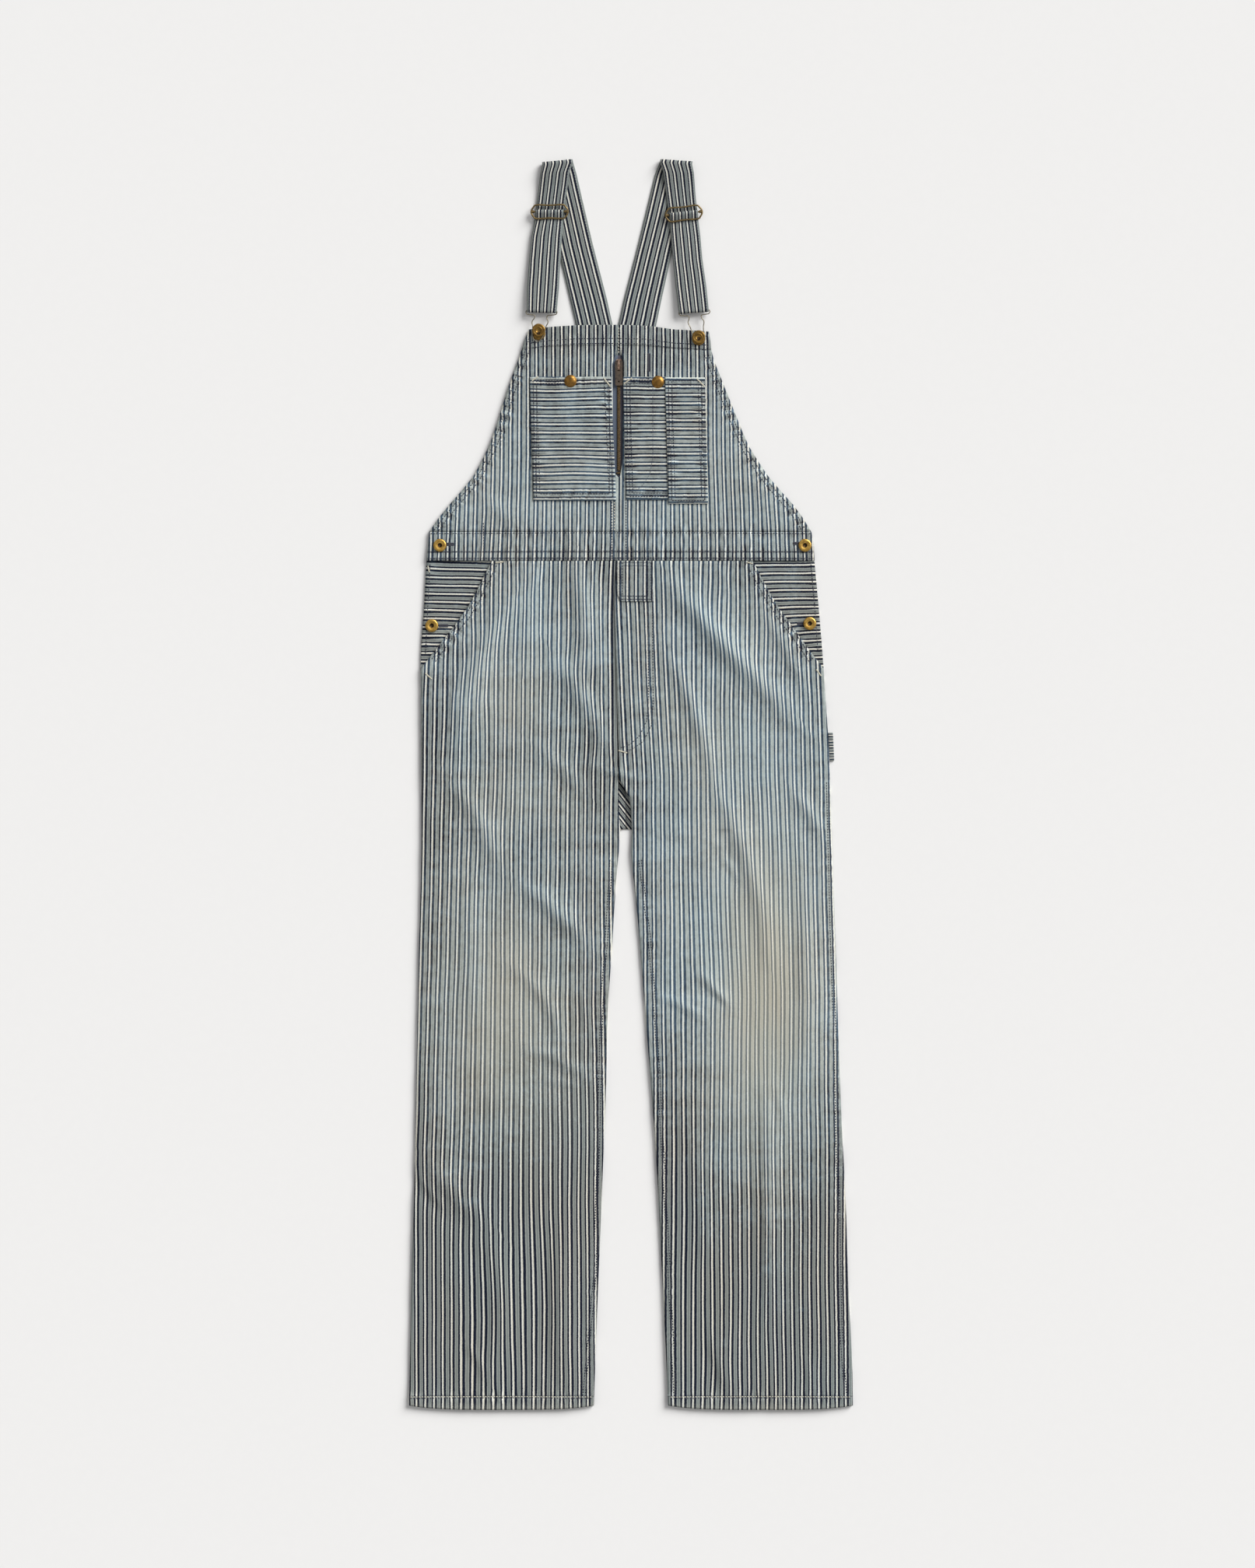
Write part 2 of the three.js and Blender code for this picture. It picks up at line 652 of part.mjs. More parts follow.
// Side view of a strap as a list of stations.
function strapPath(strap) {
  const foldDown = strap.fold + FOLD_RADIUS;
  const foldHeight = BACK_RUN_HEIGHT + FOLD_RADIUS;
  const hookDown = strap.hook.down;
  const barDown = strap.slider.down;
  const lowBar = barDown + SLIDER.reach;
  const cross = THREE.MathUtils.radToDeg(Math.asin((2 * BAR_WRAP) / SLIDER.reach));
  const at = (run, down, height) => ({ run, down, height });
  return [
    at("back", BACK_TOP - GAP, BACK_RUN_HEIGHT),
    at("back", 180, BACK_RUN_HEIGHT),
    at("back", 110, BACK_RUN_HEIGHT),
    at("back", 50, BACK_RUN_HEIGHT),
    at("back", 20, BACK_RUN_HEIGHT),
    ...arc("back", foldDown, foldHeight, FOLD_RADIUS, 270, 90, 8),
    at("rear", 18, foldHeight + 0.62 * FOLD_RADIUS),
    at("rear", 34, REAR_HEIGHT + 1.4),
    at("rear", 52, REAR_HEIGHT),
    at("rear", 95, REAR_HEIGHT),
    at("rear", 130, REAR_HEIGHT),
    at("rear", 165, REAR_HEIGHT + 1.2),
    ...arc("rear", hookDown, HOOK_HEIGHT, HOOK_WRAP, 270, 450, 6),
    at("front", 165, RETURN_HEIGHT + 1.9),
    at("front", 130, RETURN_HEIGHT + 0.2),
    at("front", 100, RETURN_HEIGHT),
    at("front", lowBar, RETURN_HEIGHT),
    ...arc("front", barDown, SLIDER_HEIGHT, BAR_WRAP, 90 - cross, 255, 8),
  ];
}

// Frame of a slider: a six-sided wire ring, with a middle bar twisted on at its ends.
const SLIDER = { reach: 8.2, top: 20.2, middle: 23.6, bottom: 20.4, knob: 2.1, knobLength: 3.4 };

function strapPiece(side) {
  const strap = STRAPS[side];
  const path = strapPath(strap);
  const lower = [];
  const upper = [];
  path.forEach((place, index) => {
    const before = path[Math.max(index - 1, 0)];
    const after = path[Math.min(index + 1, path.length - 1)];
    const travel = new THREE.Vector2(before.down - after.down, after.height - before.height).normalize();
    const edges = strap[place.run];
    const tilt = column(edges, "tilt")(place.down) / 2;
    const lift = (x, way, half) => new THREE.Vector3(
      x,
      level(place.down) + way * tilt + travel.y * half,
      place.height - travel.x * half,
    );
    const left = column(edges, "left")(place.down);
    const right = column(edges, "right")(place.down);
    const half = STRAP_PLIES / 2;
    lower.push([lift(left, 1, -half), lift(right, -1, -half)]);
    upper.push([lift(left, 1, half), lift(right, -1, half)]);
  });
  return piece(`strap_${side}`, wall(lower, upper), HICKORY_DARK);
}

// Solids for joining and cutting.
function solid(geometry) {
  const bare = geometry.clone();
  bare.deleteAttribute("normal");
  bare.deleteAttribute("uv");
  const merged = mergeVertices(bare, 1e-4);
  const vertProperties = new Float32Array(merged.getAttribute("position").array);
  const triVerts = new Uint32Array(merged.getIndex().array);
  return new wasm.Manifold(new wasm.Mesh({ numProp: 3, vertProperties, triVerts }));
}
function surface(body) {
  const mesh = body.getMesh();
  const geometry = new THREE.BufferGeometry();
  geometry.setAttribute("position", new THREE.Float32BufferAttribute(mesh.vertProperties, 3));
  geometry.setIndex(new THREE.Uint32BufferAttribute(mesh.triVerts, 1));
  geometry.computeVertexNormals();
  return geometry;
}

// Closed wire ring through a list of corners.
function wireRing(corners, radius, parts) {
  const points = corners.map(([x, y]) => new THREE.Vector3(x, y, 0));
  const route = new THREE.CatmullRomCurve3(points, true, "centripetal");
  return new THREE.TubeGeometry(route, parts, radius, 6, true);
}

function sliderPiece(side) {
  const { reach, top, middle, bottom, knob, knobLength } = SLIDER;
  const place = STRAPS[side].slider;
  const round = 1.5;
  const ring = wireRing([
    [-top + round, reach], [0, reach], [top - round, reach], [top, reach - round],
    [middle, 0], [bottom, -reach + round], [bottom - round, -reach], [0, -reach],
    [-bottom + round, -reach], [-bottom, -reach + round], [-middle, 0], [-top, reach - round],
  ], WIRE, 40);
  const bar = new THREE.CylinderGeometry(WIRE, WIRE, 2 * middle, 8).rotateZ(Math.PI / 2);
  let body = solid(ring).add(solid(bar));
  for (const end of [-1, 1]) {
    const twist = new THREE.CylinderGeometry(knob, knob, knobLength, 8).rotateZ(Math.PI / 2);
    body = body.add(solid(twist.translate(end * (middle - knobLength / 2 + WIRE), 0, 0)));
  }
  const mesh = piece(`strap_slider_${side}`, surface(body), OLD_BRASS, 0.8);
  mesh.position.set(place.x, level(place.down), SLIDER_HEIGHT);
  mesh.rotation.z = place.turn;
  return mesh;
}

// Hook: a wire keyhole from its bar, inside the strap's fold, down round the button.
const HOOK = [
  { along: 0, half: 20.9 },
  { along: 3.4, half: 20.9 },
  { along: 5.2, half: 14 },
  { along: 6.2, half: 8.4 },
  { along: 9, half: 8 },
  { along: 14, half: 10.2 },
  { along: 20, half: 8.6 },
  { along: 29, half: 7 },
  { along: 36.5, half: 4.6 },
];
const HOOK_END = 38.9;

function hookPiece(side) {
  const { hook, button } = STRAPS[side];
  const lean = Math.atan2(button.x - hook.x, button.down - hook.down) - hook.turn;
  const middle = (along) => Math.sin(lean) * along;
  const right = HOOK.map(({ along, half }) => [half + middle(along), -along]);
  const left = HOOK.map(({ along, half }) => [middle(along) - half, -along]).reverse();
  const ring = wireRing([[0, 0], ...right, [middle(HOOK_END), -HOOK_END], ...left], HOOK_WIRE, 44);
  const mesh = piece(`hook_${side}`, ring, OLD_BRASS, 0.8);
  mesh.position.set(hook.x, level(hook.down), HOOK_HEIGHT);
  mesh.rotation.z = hook.turn;
  return mesh;
}

// Turned metal parts, from profiles of radius and height.
function turned(name, profile, parts, colour = BRASS) {
  const outline = profile.map(({ radius, height }) => new THREE.Vector2(radius, height));
  const geometry = new THREE.LatheGeometry(outline, parts).rotateX(Math.PI / 2);
  return piece(name, geometry, colour, 0.9);
}

// Height on which a round part rests: the highest point of the cloth under its base.
function seat(top, x, down, radius) {
  let height = top(x, down);
  for (let turn = 0; turn < 8; turn += 1) {
    const angle = (turn * Math.PI) / 4;
    height = Math.max(height, top(x + radius * Math.cos(angle), down + radius * Math.sin(angle)));
  }
  return height + GAP;
}

const BUTTON_RADIUS = 8.5;
const BIB_BUTTON = [
  { radius: 0, height: 0 },
  { radius: 7.6, height: 0 },
  { radius: BUTTON_RADIUS, height: 0.5 },
  { radius: 7.6, height: 1 },
  { radius: 2.2, height: 1 },
  { radius: 2.2, height: 3.5 },
  { radius: 7.4, height: 3.5 },
  { radius: BUTTON_RADIUS, height: 4.4 },
  { radius: 7.4, height: 5.6 },
  { radius: 4.4, height: 5.6 },
  { radius: 3.2, height: 4.6 },
  { radius: 0, height: 4.6 },
];
const BIB_BUTTON_NECK = [1, 3.5];
function bibButton(side, carrier) {
  const { button } = STRAPS[side];
  const down = button.down + button.lean;
  const mesh = turned(`bib_button_${side}`, BIB_BUTTON, 16);
  const place = mesh.geometry.getAttribute("position");
  const [start, end] = BIB_BUTTON_NECK;
  for (let index = 0; index < place.count; index += 1) {
    const share = clamp((place.getZ(index) - start) / (end - start));
    place.setY(index, place.getY(index) + button.lean * share);
  }
  mesh.position.set(button.x, level(down), seat(topOf(carrier), button.x, down, BUTTON_RADIUS));
  return mesh;
}

const SIDE_BUTTON = [
  { radius: 0, height: 0 },
  { radius: 6.4, height: 0 },
  { radius: 8.4, height: 1.4 },
  { radius: 7.8, height: 2.6 },
  { radius: 6.6, height: 3 },
  { radius: 3.4, height: 2.3 },
  { radius: 2.6, height: 1.3 },
  { radius: 0, height: 1.3 },
];
const facingTop = () => INNER_LAYER + CLOTH;
const SIDE_BUTTONS = [
  { name: "side_button_right_upper", x: -245.3, down: 496.4, top: topOf(waistband) },
  { name: "side_button_right_lower", x: -255.8, down: 599.5, top: facingTop },
  { name: "side_button_left_upper", x: 223.4, down: 496.4, top: topOf(waistband) },
  { name: "side_button_left_lower", x: 229.7, down: 596.7, top: facingTop },
];

const STUD = [
  { radius: 0, height: 0 },
  { radius: 8, height: 0 },
  { radius: 7.8, height: 0.8 },
  { radius: 5.6, height: 2 },
  { radius: 2.6, height: 2.5 },
  { radius: 0, height: 2.6 },
];
const STUDS = [
  { name: "bib_stud_right", x: -77.7, down: 285.6, top: topOf(rightPocket) },
  { name: "bib_stud_left", x: 34.6, down: 286.7, top: topOf(leftPocket) },
];

function resting(list, profile, parts) {
  return list.map(({ name, x, down, top }) => {
    const mesh = turned(name, profile, parts);
    mesh.position.set(x, level(down), seat(top, x, down, BUTTON_RADIUS - 1));
    return mesh;
  });
}

// Zip slider: a rounded body on the tape, with a bridge that holds the pull.
const ZIP = {
  x: -15.6,
  top: 257.2,
  width: 7,
  length: 14,
  body: 2.6,
  bridgeWidth: 2.4,
  bridgeHeight: 3,
  bridgeWall: 0.8,
};
const TAPE_TOP = INNER_LAYER + TAPE;
const ZIP_BODY_TOP = TAPE_TOP + GAP + ZIP.body;
const PIN = 0.7;
const PIVOT_HEIGHT = ZIP_BODY_TOP + PIN + 0.4;
const PIVOT_DOWN = ZIP.top + 2.6;

function rounded(width, length, corner, lowest = -length / 2) {
  const shape = new THREE.Shape();
  const [x, y] = [width / 2, lowest];
  shape.moveTo(x, y + corner);
  shape.lineTo(x, y + length - corner);
  shape.quadraticCurveTo(x, y + length, x - corner, y + length);
  shape.lineTo(corner - x, y + length);
  shape.quadraticCurveTo(-x, y + length, -x, y + length - corner);
  shape.lineTo(-x, y + corner);
  shape.quadraticCurveTo(-x, y, corner - x, y);
  shape.lineTo(x - corner, y);
  shape.quadraticCurveTo(x, y, x, y + corner);
  return shape;
}
const plate = (shape, depth) => new THREE.ExtrudeGeometry(shape, { depth, bevelEnabled: false, curveSegments: 3 });

function zipSlider() {
  const { width, length, body, bridgeWidth, bridgeHeight, bridgeWall } = ZIP;
  const base = solid(plate(rounded(width, length, 2), body));
  const half = length / 2 - 0.6;
  const arch = new THREE.Shape();
  arch.moveTo(-half, 0);
  arch.lineTo(-half, bridgeHeight - 1.4);
  arch.quadraticCurveTo(-half, bridgeHeight, 1.6 - half, bridgeHeight);
  arch.lineTo(half - 1.6, bridgeHeight);
  arch.quadraticCurveTo(half, bridgeHeight, half, bridgeHeight - 1.4);
  arch.lineTo(half, 0);
  const inner = half - bridgeWall;
  arch.lineTo(inner, 0);
  arch.lineTo(inner, bridgeHeight - bridgeWall);
  arch.lineTo(-inner, bridgeHeight - bridgeWall);
  arch.lineTo(-inner, 0);
  const bridge = plate(arch, bridgeWidth).translate(0, 0, -bridgeWidth / 2);
  bridge.rotateX(Math.PI / 2).rotateZ(Math.PI / 2).translate(0, 0, body - 0.01);
  const mesh = piece("zip_slider", surface(base.add(solid(bridge))), OLD_BRASS, 0.8);
  mesh.position.set(ZIP.x, level(ZIP.top + length / 2), TAPE_TOP + GAP);
  return mesh;
}

// Zip pull: a plate with a slot round the slider's bridge and a pin under it.
const PULL = { width: 9.4, length: 32.2, thick: 1.2, slot: 4, slotLength: 12.6, dip: 1, hole: 1.1, holeAt: 26.4 };

function zipPull() {
  const { width, length, thick, slot, slotLength, dip, hole, holeAt } = PULL;
  const outline = rounded(width, length, 1.8, -length + PIN);
  const slotShape = rounded(slot, slotLength - PIN, 0.8, -slotLength);
  const eye = new THREE.Path();
  eye.absarc(0, -holeAt, hole, 0, 2 * Math.PI, true);
  outline.holes.push(slotShape, eye);
  const sheet = solid(plate(outline, thick).translate(0, 0, -thick / 2));
  const pin = new THREE.CylinderGeometry(PIN, PIN, width - 1, 10).rotateZ(Math.PI / 2);
  const mesh = piece("zip_pull", surface(sheet.add(solid(pin))), OLD_BRASS, 0.7);
  mesh.position.set(ZIP.x, level(PIVOT_DOWN), PIVOT_HEIGHT);
  mesh.rotation.x = THREE.MathUtils.degToRad(dip);
  return mesh;
}

const dungarees = new THREE.Group();
dungarees.add(
  panel("back_bodice", backBody),
  panel("back_leg_right", backLeg(outerRight, seamRight, -1)),
  panel("back_leg_left", backLeg(outerLeft, seamLeft, 1)),
  panel("hand_pocket_right", pocketFacing(outerRight, (down) => slantRight(down) + SLANT_LAP)),
  panel("hand_pocket_left", pocketFacing((down) => slantLeft(down) - SLANT_LAP, outerLeft)),
  panel("front_leg_right", rightLeg),
  panel("front_leg_left", leftLeg),
  panel("zip_tape", zipTape, ZIP_TAPE),
  panel("bib_right", rightBib),
  panel("bib_left", leftBib),
  panel("waistband", waistband),
  panel("bib_pocket_right", rightPocket),
  panel("bib_pocket_left", leftPocket),
  panel("pen_pocket", penPocket),
  panel("fly_tab", flyTab),
  panel("hammer_loop", hammerLoop),
  strapPiece("right"),
  strapPiece("left"),
  sliderPiece("right"),
  sliderPiece("left"),
  hookPiece("right"),
  hookPiece("left"),
  bibButton("right", rightBib),
  bibButton("left", leftBib),
  ...resting(SIDE_BUTTONS, SIDE_BUTTON, 16),
  ...resting(STUDS, STUD, 16),
  zipSlider(),
  zipPull(),
);

export default dungarees;
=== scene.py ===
"""Hickory-stripe dungarees laid flat: cloth, sewing, zip and brass parts, on a pale floor."""

import math

import bmesh
import bpy
import numpy as np
from mathutils import Matrix, Vector, noise
from mathutils.bvhtree import BVHTree


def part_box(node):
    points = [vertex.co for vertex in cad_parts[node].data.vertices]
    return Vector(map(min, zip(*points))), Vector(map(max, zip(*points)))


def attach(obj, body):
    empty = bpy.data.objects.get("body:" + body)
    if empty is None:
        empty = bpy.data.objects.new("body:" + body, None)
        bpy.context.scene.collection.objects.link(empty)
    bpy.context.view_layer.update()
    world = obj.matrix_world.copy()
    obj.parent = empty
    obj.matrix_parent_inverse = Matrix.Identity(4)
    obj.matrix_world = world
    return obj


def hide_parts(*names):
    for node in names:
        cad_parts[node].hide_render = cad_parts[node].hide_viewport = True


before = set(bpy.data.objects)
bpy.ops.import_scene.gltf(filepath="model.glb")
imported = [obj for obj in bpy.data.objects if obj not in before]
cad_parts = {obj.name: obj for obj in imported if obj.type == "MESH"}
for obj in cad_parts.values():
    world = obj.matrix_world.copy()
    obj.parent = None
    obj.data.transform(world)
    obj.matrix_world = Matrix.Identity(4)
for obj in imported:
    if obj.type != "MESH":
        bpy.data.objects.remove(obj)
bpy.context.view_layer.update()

# Sizes are in millimetres. "x" is the distance from the middle of the garment towards the
# wearer's left, and "down" the distance below the straps' upper folds.
MM = 0.001
FOLD_LINE = 803.5
CLOTH = 1.2
HEM_PLIES = 2.1
WAISTBAND_PLIES = 1.8
STRAP_PLIES = 1.4
GAP = 0.3
BIB_HEM_END = 239
HEM_START = 1592
HEM_ROW = 1590
HEM_SHADE_ROW_BELOW = 1.7
WAIST_END = 516
LENGTH = 1607
FAR_OFF = 1e9
ABOVE_ALL = 60


def place(x, down, height=0.0):
    """A point of the frame, in metres."""
    return Vector((x * MM, (FOLD_LINE - down) * MM, height * MM))


def ease(value):
    """Runs from 0 to 1 with level ends."""
    value = np.clip(value, 0, 1)
    return value * value * (3 - 2 * value)


def ink(red, green, blue):
    """A screen colour as the shader's linear one."""
    parts = [value / 255 for value in (red, green, blue)]
    linear = [((c + 0.055) / 1.055) ** 2.4 if c > 0.04045 else c / 12.92 for c in parts]
    return (*linear, 1)


# Camera, light and floor

CAMERA_X = -4.5 * MM
CAMERA_Y = 0.5 * MM
LENS = 100
SENSOR = 36
VIEW_REACH = 60
PICTURE_HEIGHT = 2.016
CAMERA_HEIGHT = PICTURE_HEIGHT * LENS / SENSOR
SUN_STRENGTH = 3.75
SUN_WIDTH = math.radians(38)
SUN_PLACE = Vector((1.75, 1.7, 1.45))
SKY_COLOUR = (250, 250, 252)
SKY_STRENGTH = 0.42
FLOOR_REACH = 14
FLOOR_DROP = 0.4 * MM


def studio():
    """Camera straight above, one soft sun from the upper right, and pale light all round."""
    scene = bpy.context.scene
    lens = bpy.data.cameras.new("camera")
    lens.lens = LENS
    lens.sensor_width = SENSOR
    lens.clip_end = VIEW_REACH
    scene.camera = bpy.data.objects.new("camera", lens)
    scene.camera.location = (CAMERA_X, CAMERA_Y, CAMERA_HEIGHT)
    sun = bpy.data.lights.new("key", "SUN")
    sun.energy = SUN_STRENGTH
    sun.angle = SUN_WIDTH
    key = bpy.data.objects.new("key", sun)
    key.location = SUN_PLACE
    key.rotation_mode = "QUATERNION"
    key.rotation_quaternion = (-SUN_PLACE).to_track_quat("-Z", "Y")
    for made in (scene.camera, key):
        bpy.context.collection.objects.link(made)
    scene.world = bpy.data.worlds.new("studio")
    scene.world.use_nodes = True
    sky = scene.world.node_tree.nodes["Background"]
    sky.inputs["Color"].default_value = ink(*SKY_COLOUR)
    sky.inputs["Strength"].default_value = SKY_STRENGTH
    scene.view_settings.view_transform = "Standard"
    scene.view_settings.look = "None"


# Materials


def new_material(name, roughness=0.9, metallic=0.0, sheen=0.0, gloss=0.5):
    """A material with its shader's constants set, and its node tree."""
    made = bpy.data.materials.new(name)
    made.use_nodes = True
    shader = made.node_tree.nodes["Principled BSDF"]
    shader.inputs["Roughness"].default_value = roughness
    shader.inputs["Metallic"].default_value = metallic
    shader.inputs["Sheen Weight"].default_value = sheen
    shader.inputs["Specular IOR Level"].default_value = gloss
    return made, made.node_tree, shader


def put(tree, kind, inputs=None, **settings):
    """Adds a node, with its settings, and its inputs as values or as other nodes' outputs."""
    made = tree.nodes.new("ShaderNode" + kind)
    for key, value in settings.items():
        setattr(made, key, value)
    for key, value in (inputs or {}).items():
        if isinstance(value, bpy.types.NodeSocket):
            tree.links.new(value, made.inputs[key])
        else:
            made.inputs[key].default_value = value
    return made


def sums(tree, operation, *values, clamp=False):
    """One arithmetic step."""
    made = put(tree, "Math", dict(enumerate(values)), operation=operation, use_clamp=clamp)
    return made.outputs[0]


def mottle(tree, spot, scale, detail):
    """Uneven values about one half."""
    return put(tree, "TexNoise", {"Vector": spot, "Scale": scale, "Detail": detail}).outputs[0]


def spread(tree, value, low, high, floor=0.0, top=1.0):
    """The stretch of a value from low to high, drawn out from floor to top."""
    return put(tree, "MapRange", {0: value, 1: low, 2: high, 3: floor, 4: top}).outputs[0]


def waves(tree, spot, scale, direction, distortion=0.0):
    """Even bands across a place."""
    inputs = {"Vector": spot, "Scale": scale, "Distortion": distortion}
    return put(tree, "TexWave", inputs, bands_direction=direction).outputs[1]


def roughen(tree, shader, height, distance, strength):
    """Gives a shader the relief of a height."""
    bump = put(tree, "Bump", {"Height": height, "Distance": distance, "Strength": strength})
    tree.links.new(bump.outputs[0], shader.inputs["Normal"])


def blend(tree, share, first, second, kind="MIX"):
    """Two colours mixed by a share."""
    made = put(tree, "Mix", data_type="RGBA", blend_type=kind)
    for index, value in ((0, share), (6, first), (7, second)):
        if isinstance(value, bpy.types.NodeSocket):
            tree.links.new(value, made.inputs[index])
        else:
            made.inputs[index].default_value = value
    return made.outputs[2]


# One repeat of the stripe: where each yarn stands, and which colour of the cloth it has.
CREAM, NAVY, SIDE_GREY, MID_GREY, LATE_NAVY = range(5)
STRIPE_STOPS = (
    (0.0, CREAM), (0.085, CREAM), (0.175, NAVY), (0.365, NAVY), (0.445, SIDE_GREY),
    (0.54, MID_GREY), (0.62, MID_GREY), (0.71, SIDE_GREY), (0.79, LATE_NAVY),
    (0.925, LATE_NAVY), (1.0, CREAM),
)
NEW_CLOTH = ((232, 229, 216), (5, 13, 37), (166, 170, 166), (124, 130, 129), (3, 10, 33))
WASHED_CLOTH = (
    (232, 238, 232), (85, 106, 126), (208, 216, 213), (185, 194, 193), (79, 100, 120)
)
WORN_CLOTH = (
    (219, 214, 197), (133, 135, 130), (206, 202, 188), (188, 184, 170), (129, 131, 126)
)


def stripe_colours(tree, across, colours):
    """The yarn colours of a repeat, with soft borders."""
    ramp = put(tree, "ValToRGB", {0: across})
    stops = ramp.color_ramp.elements
    for index, (position, kind) in enumerate(STRIPE_STOPS):
        stop = stops[0] if index == 0 else stops.new(position)
        stop.color = ink(*colours[kind])
    stops[len(stops) - 1].color = ink(*colours[CREAM])
    return ramp.outputs[0]


PAINTS = ("fade_and_shade", "worn", "rows", "near", "run")
THREADS = 12.0
WEAVE_DEPTH = 0.09 * MM
WEAVE_STRENGTH = 0.8
PUCKER_DEPTH = 1.3 * MM
PUCKERS_PER_MM = 0.13
# How far the yarns stray sideways, in repeats.
YARN_DRIFT = 0.3
YARN_WAVER = 0.05
YARN_GATHER = 0.12
YARN_FUZZ = 0.11
# Uneven washing: scale across, scale along, detail, and how far it swings.
UNEVENNESS = (
    (0.55, 0.12, 5.0, 0.7),
    (0.13, 0.5, 5.0, 1.2),
    (3.1, 0.05, 2.0, 0.5),
    (3.0, 1.3, 4.0, 1.3),
)
SEAM_KEEPS = 0.14
PUCKER_CREST_WEAR_AND_HIGHLIGHT = 0.9
FLECK_SHARE = 0.36
PALE_FLECK = (132, 140, 148)
DARK_FLECK = (52, 62, 76)
COOL_TINT = (250, 254, 253)
WARM_TINT = (255, 252, 246)
ROW_HALF = 0.26
GROOVE_SHADE_COLOUR = (22, 27, 46)
GROOVE_SHADE_SHARE = 0.55
GROOVE_DEEP = 4.0


def hickory():
    """Washed twill with woven stripes. Its map runs in repeats across and along them."""
    made, tree, shader = new_material("hickory_cloth", roughness=0.95, gloss=0.1)
    cloth = put(tree, "UVMap", uv_map="cloth").outputs[0]
    fade_and_shade, worn, rows, near, run = (
        put(tree, "Attribute", attribute_name=name).outputs["Fac"] for name in PAINTS
    )

    def speckle(scale_x, scale_y, detail):
        """Mottling that is stretched along the cloth."""
        stretched = put(tree, "Mapping", {0: cloth, 3: (scale_x, scale_y, 1.0)}).outputs[0]
        return mottle(tree, stretched, 1.0, detail)

    # Where the yarns lie.
    ripple = put(
        tree, "TexNoise", {"W": run, "Scale": PUCKERS_PER_MM, "Detail": 3.5}, noise_dimensions="1D"
    ).outputs[0]
    gathers = sums(tree, "MULTIPLY", near, spread(tree, ripple, 0.3, 0.7, -0.5, 0.5))
    across = put(tree, "SeparateXYZ", {0: cloth}).outputs[0]
    for stray, share in (
        (speckle(0.07, 0.07, 1.0), YARN_DRIFT),
        (speckle(1.3, 0.5, 2.0), YARN_WAVER),
        (gathers, YARN_GATHER),
        (speckle(17.0, 8.0, 2.0), YARN_FUZZ),
    ):
        across = sums(tree, "MULTIPLY_ADD", stray, share, across)
    across = sums(tree, "FRACT", across)
    # How far each place has washed down, with the painted shade that the wash-down attribute
    # carries; the puckers' crests come out paler, partly rubbed and partly painted highlight.
    wash_and_shade = sums(tree, "MULTIPLY_ADD", near, -SEAM_KEEPS, fade_and_shade)
    for scale_x, scale_y, detail, swing in UNEVENNESS:
        part = sums(tree, "MULTIPLY_ADD", speckle(scale_x, scale_y, detail), swing, -swing / 2)
        wash_and_shade = sums(tree, "ADD", wash_and_shade, part)
    wash_shade_and_highlight = sums(tree, "MULTIPLY_ADD", gathers, PUCKER_CREST_WEAR_AND_HIGHLIGHT, wash_and_shade, clamp=True)
    fresh, soft, pale = (
        stripe_colours(tree, across, colours) for colours in (NEW_CLOTH, WASHED_CLOTH, WORN_CLOTH)
    )
    colour = blend(tree, worn, blend(tree, wash_shade_and_highlight, fresh, soft), pale)
    # Pale weft flecks in the dark yarns, and dark ones in the pale yarns.
    grain = speckle(15.0, 11.0, 3.0)
    light_flecks = spread(tree, grain, 0.52, 0.8, 0.0, FLECK_SHARE)
    dark_flecks = spread(tree, grain, 0.5, 0.24, 0.0, FLECK_SHARE)
    colour = blend(tree, light_flecks, colour, ink(*PALE_FLECK))
    colour = blend(tree, dark_flecks, colour, ink(*DARK_FLECK))
    aged = spread(tree, speckle(0.16, 0.07, 2.0), 0.34, 0.66)
    tint = blend(tree, aged, ink(*COOL_TINT), ink(*WARM_TINT))
    colour = blend(tree, 1.0, colour, tint, kind="MULTIPLY")
    twill = waves(tree, cloth, THREADS, "DIAGONAL", 0.6)
    threads = sums(tree, "MULTIPLY_ADD", twill, 0.24, 0.88)
    # Painted shade and highlight of the puckers: crests lighter, hollows darker, over the twill's
    # own lines.
    shade = sums(tree, "MULTIPLY_ADD", gathers, 0.5, threads)
    colour = blend(tree, 1.0, colour, shade, kind="MULTIPLY")
    # The sewn rows sink in; their grooves get painted shade in the colour and a real dip in the
    # relief.
    away = sums(tree, "ABSOLUTE", sums(tree, "SUBTRACT", rows, sums(tree, "ROUND", rows)))
    beside_row = sums(tree, "SUBTRACT", 1.0, sums(tree, "DIVIDE", away, ROW_HALF), clamp=True)
    first = sums(tree, "GREATER_THAN", rows, 0.5)
    last = sums(tree, "LESS_THAN", rows, 2.5)
    groove = sums(tree, "MULTIPLY", beside_row, sums(tree, "MULTIPLY", first, last))
    colour = blend(
        tree, sums(tree, "MULTIPLY", groove, GROOVE_SHADE_SHARE), colour, ink(*GROOVE_SHADE_COLOUR)
    )
    tree.links.new(colour, shader.inputs["Base Color"])
    puckers = put(tree, "Bump", {"Height": gathers, "Distance": PUCKER_DEPTH, "Strength": 1.0})
    yarns = sums(tree, "MULTIPLY_ADD", grain, 1.6, twill)
    height = sums(tree, "SUBTRACT", yarns, sums(tree, "MULTIPLY", groove, GROOVE_DEEP))
    weave = {"Height": height, "Distance": WEAVE_DEPTH, "Strength": WEAVE_STRENGTH}
    weave["Normal"] = puckers.outputs[0]
    tree.links.new(put(tree, "Bump", weave).outputs[0], shader.inputs["Normal"])
    return made


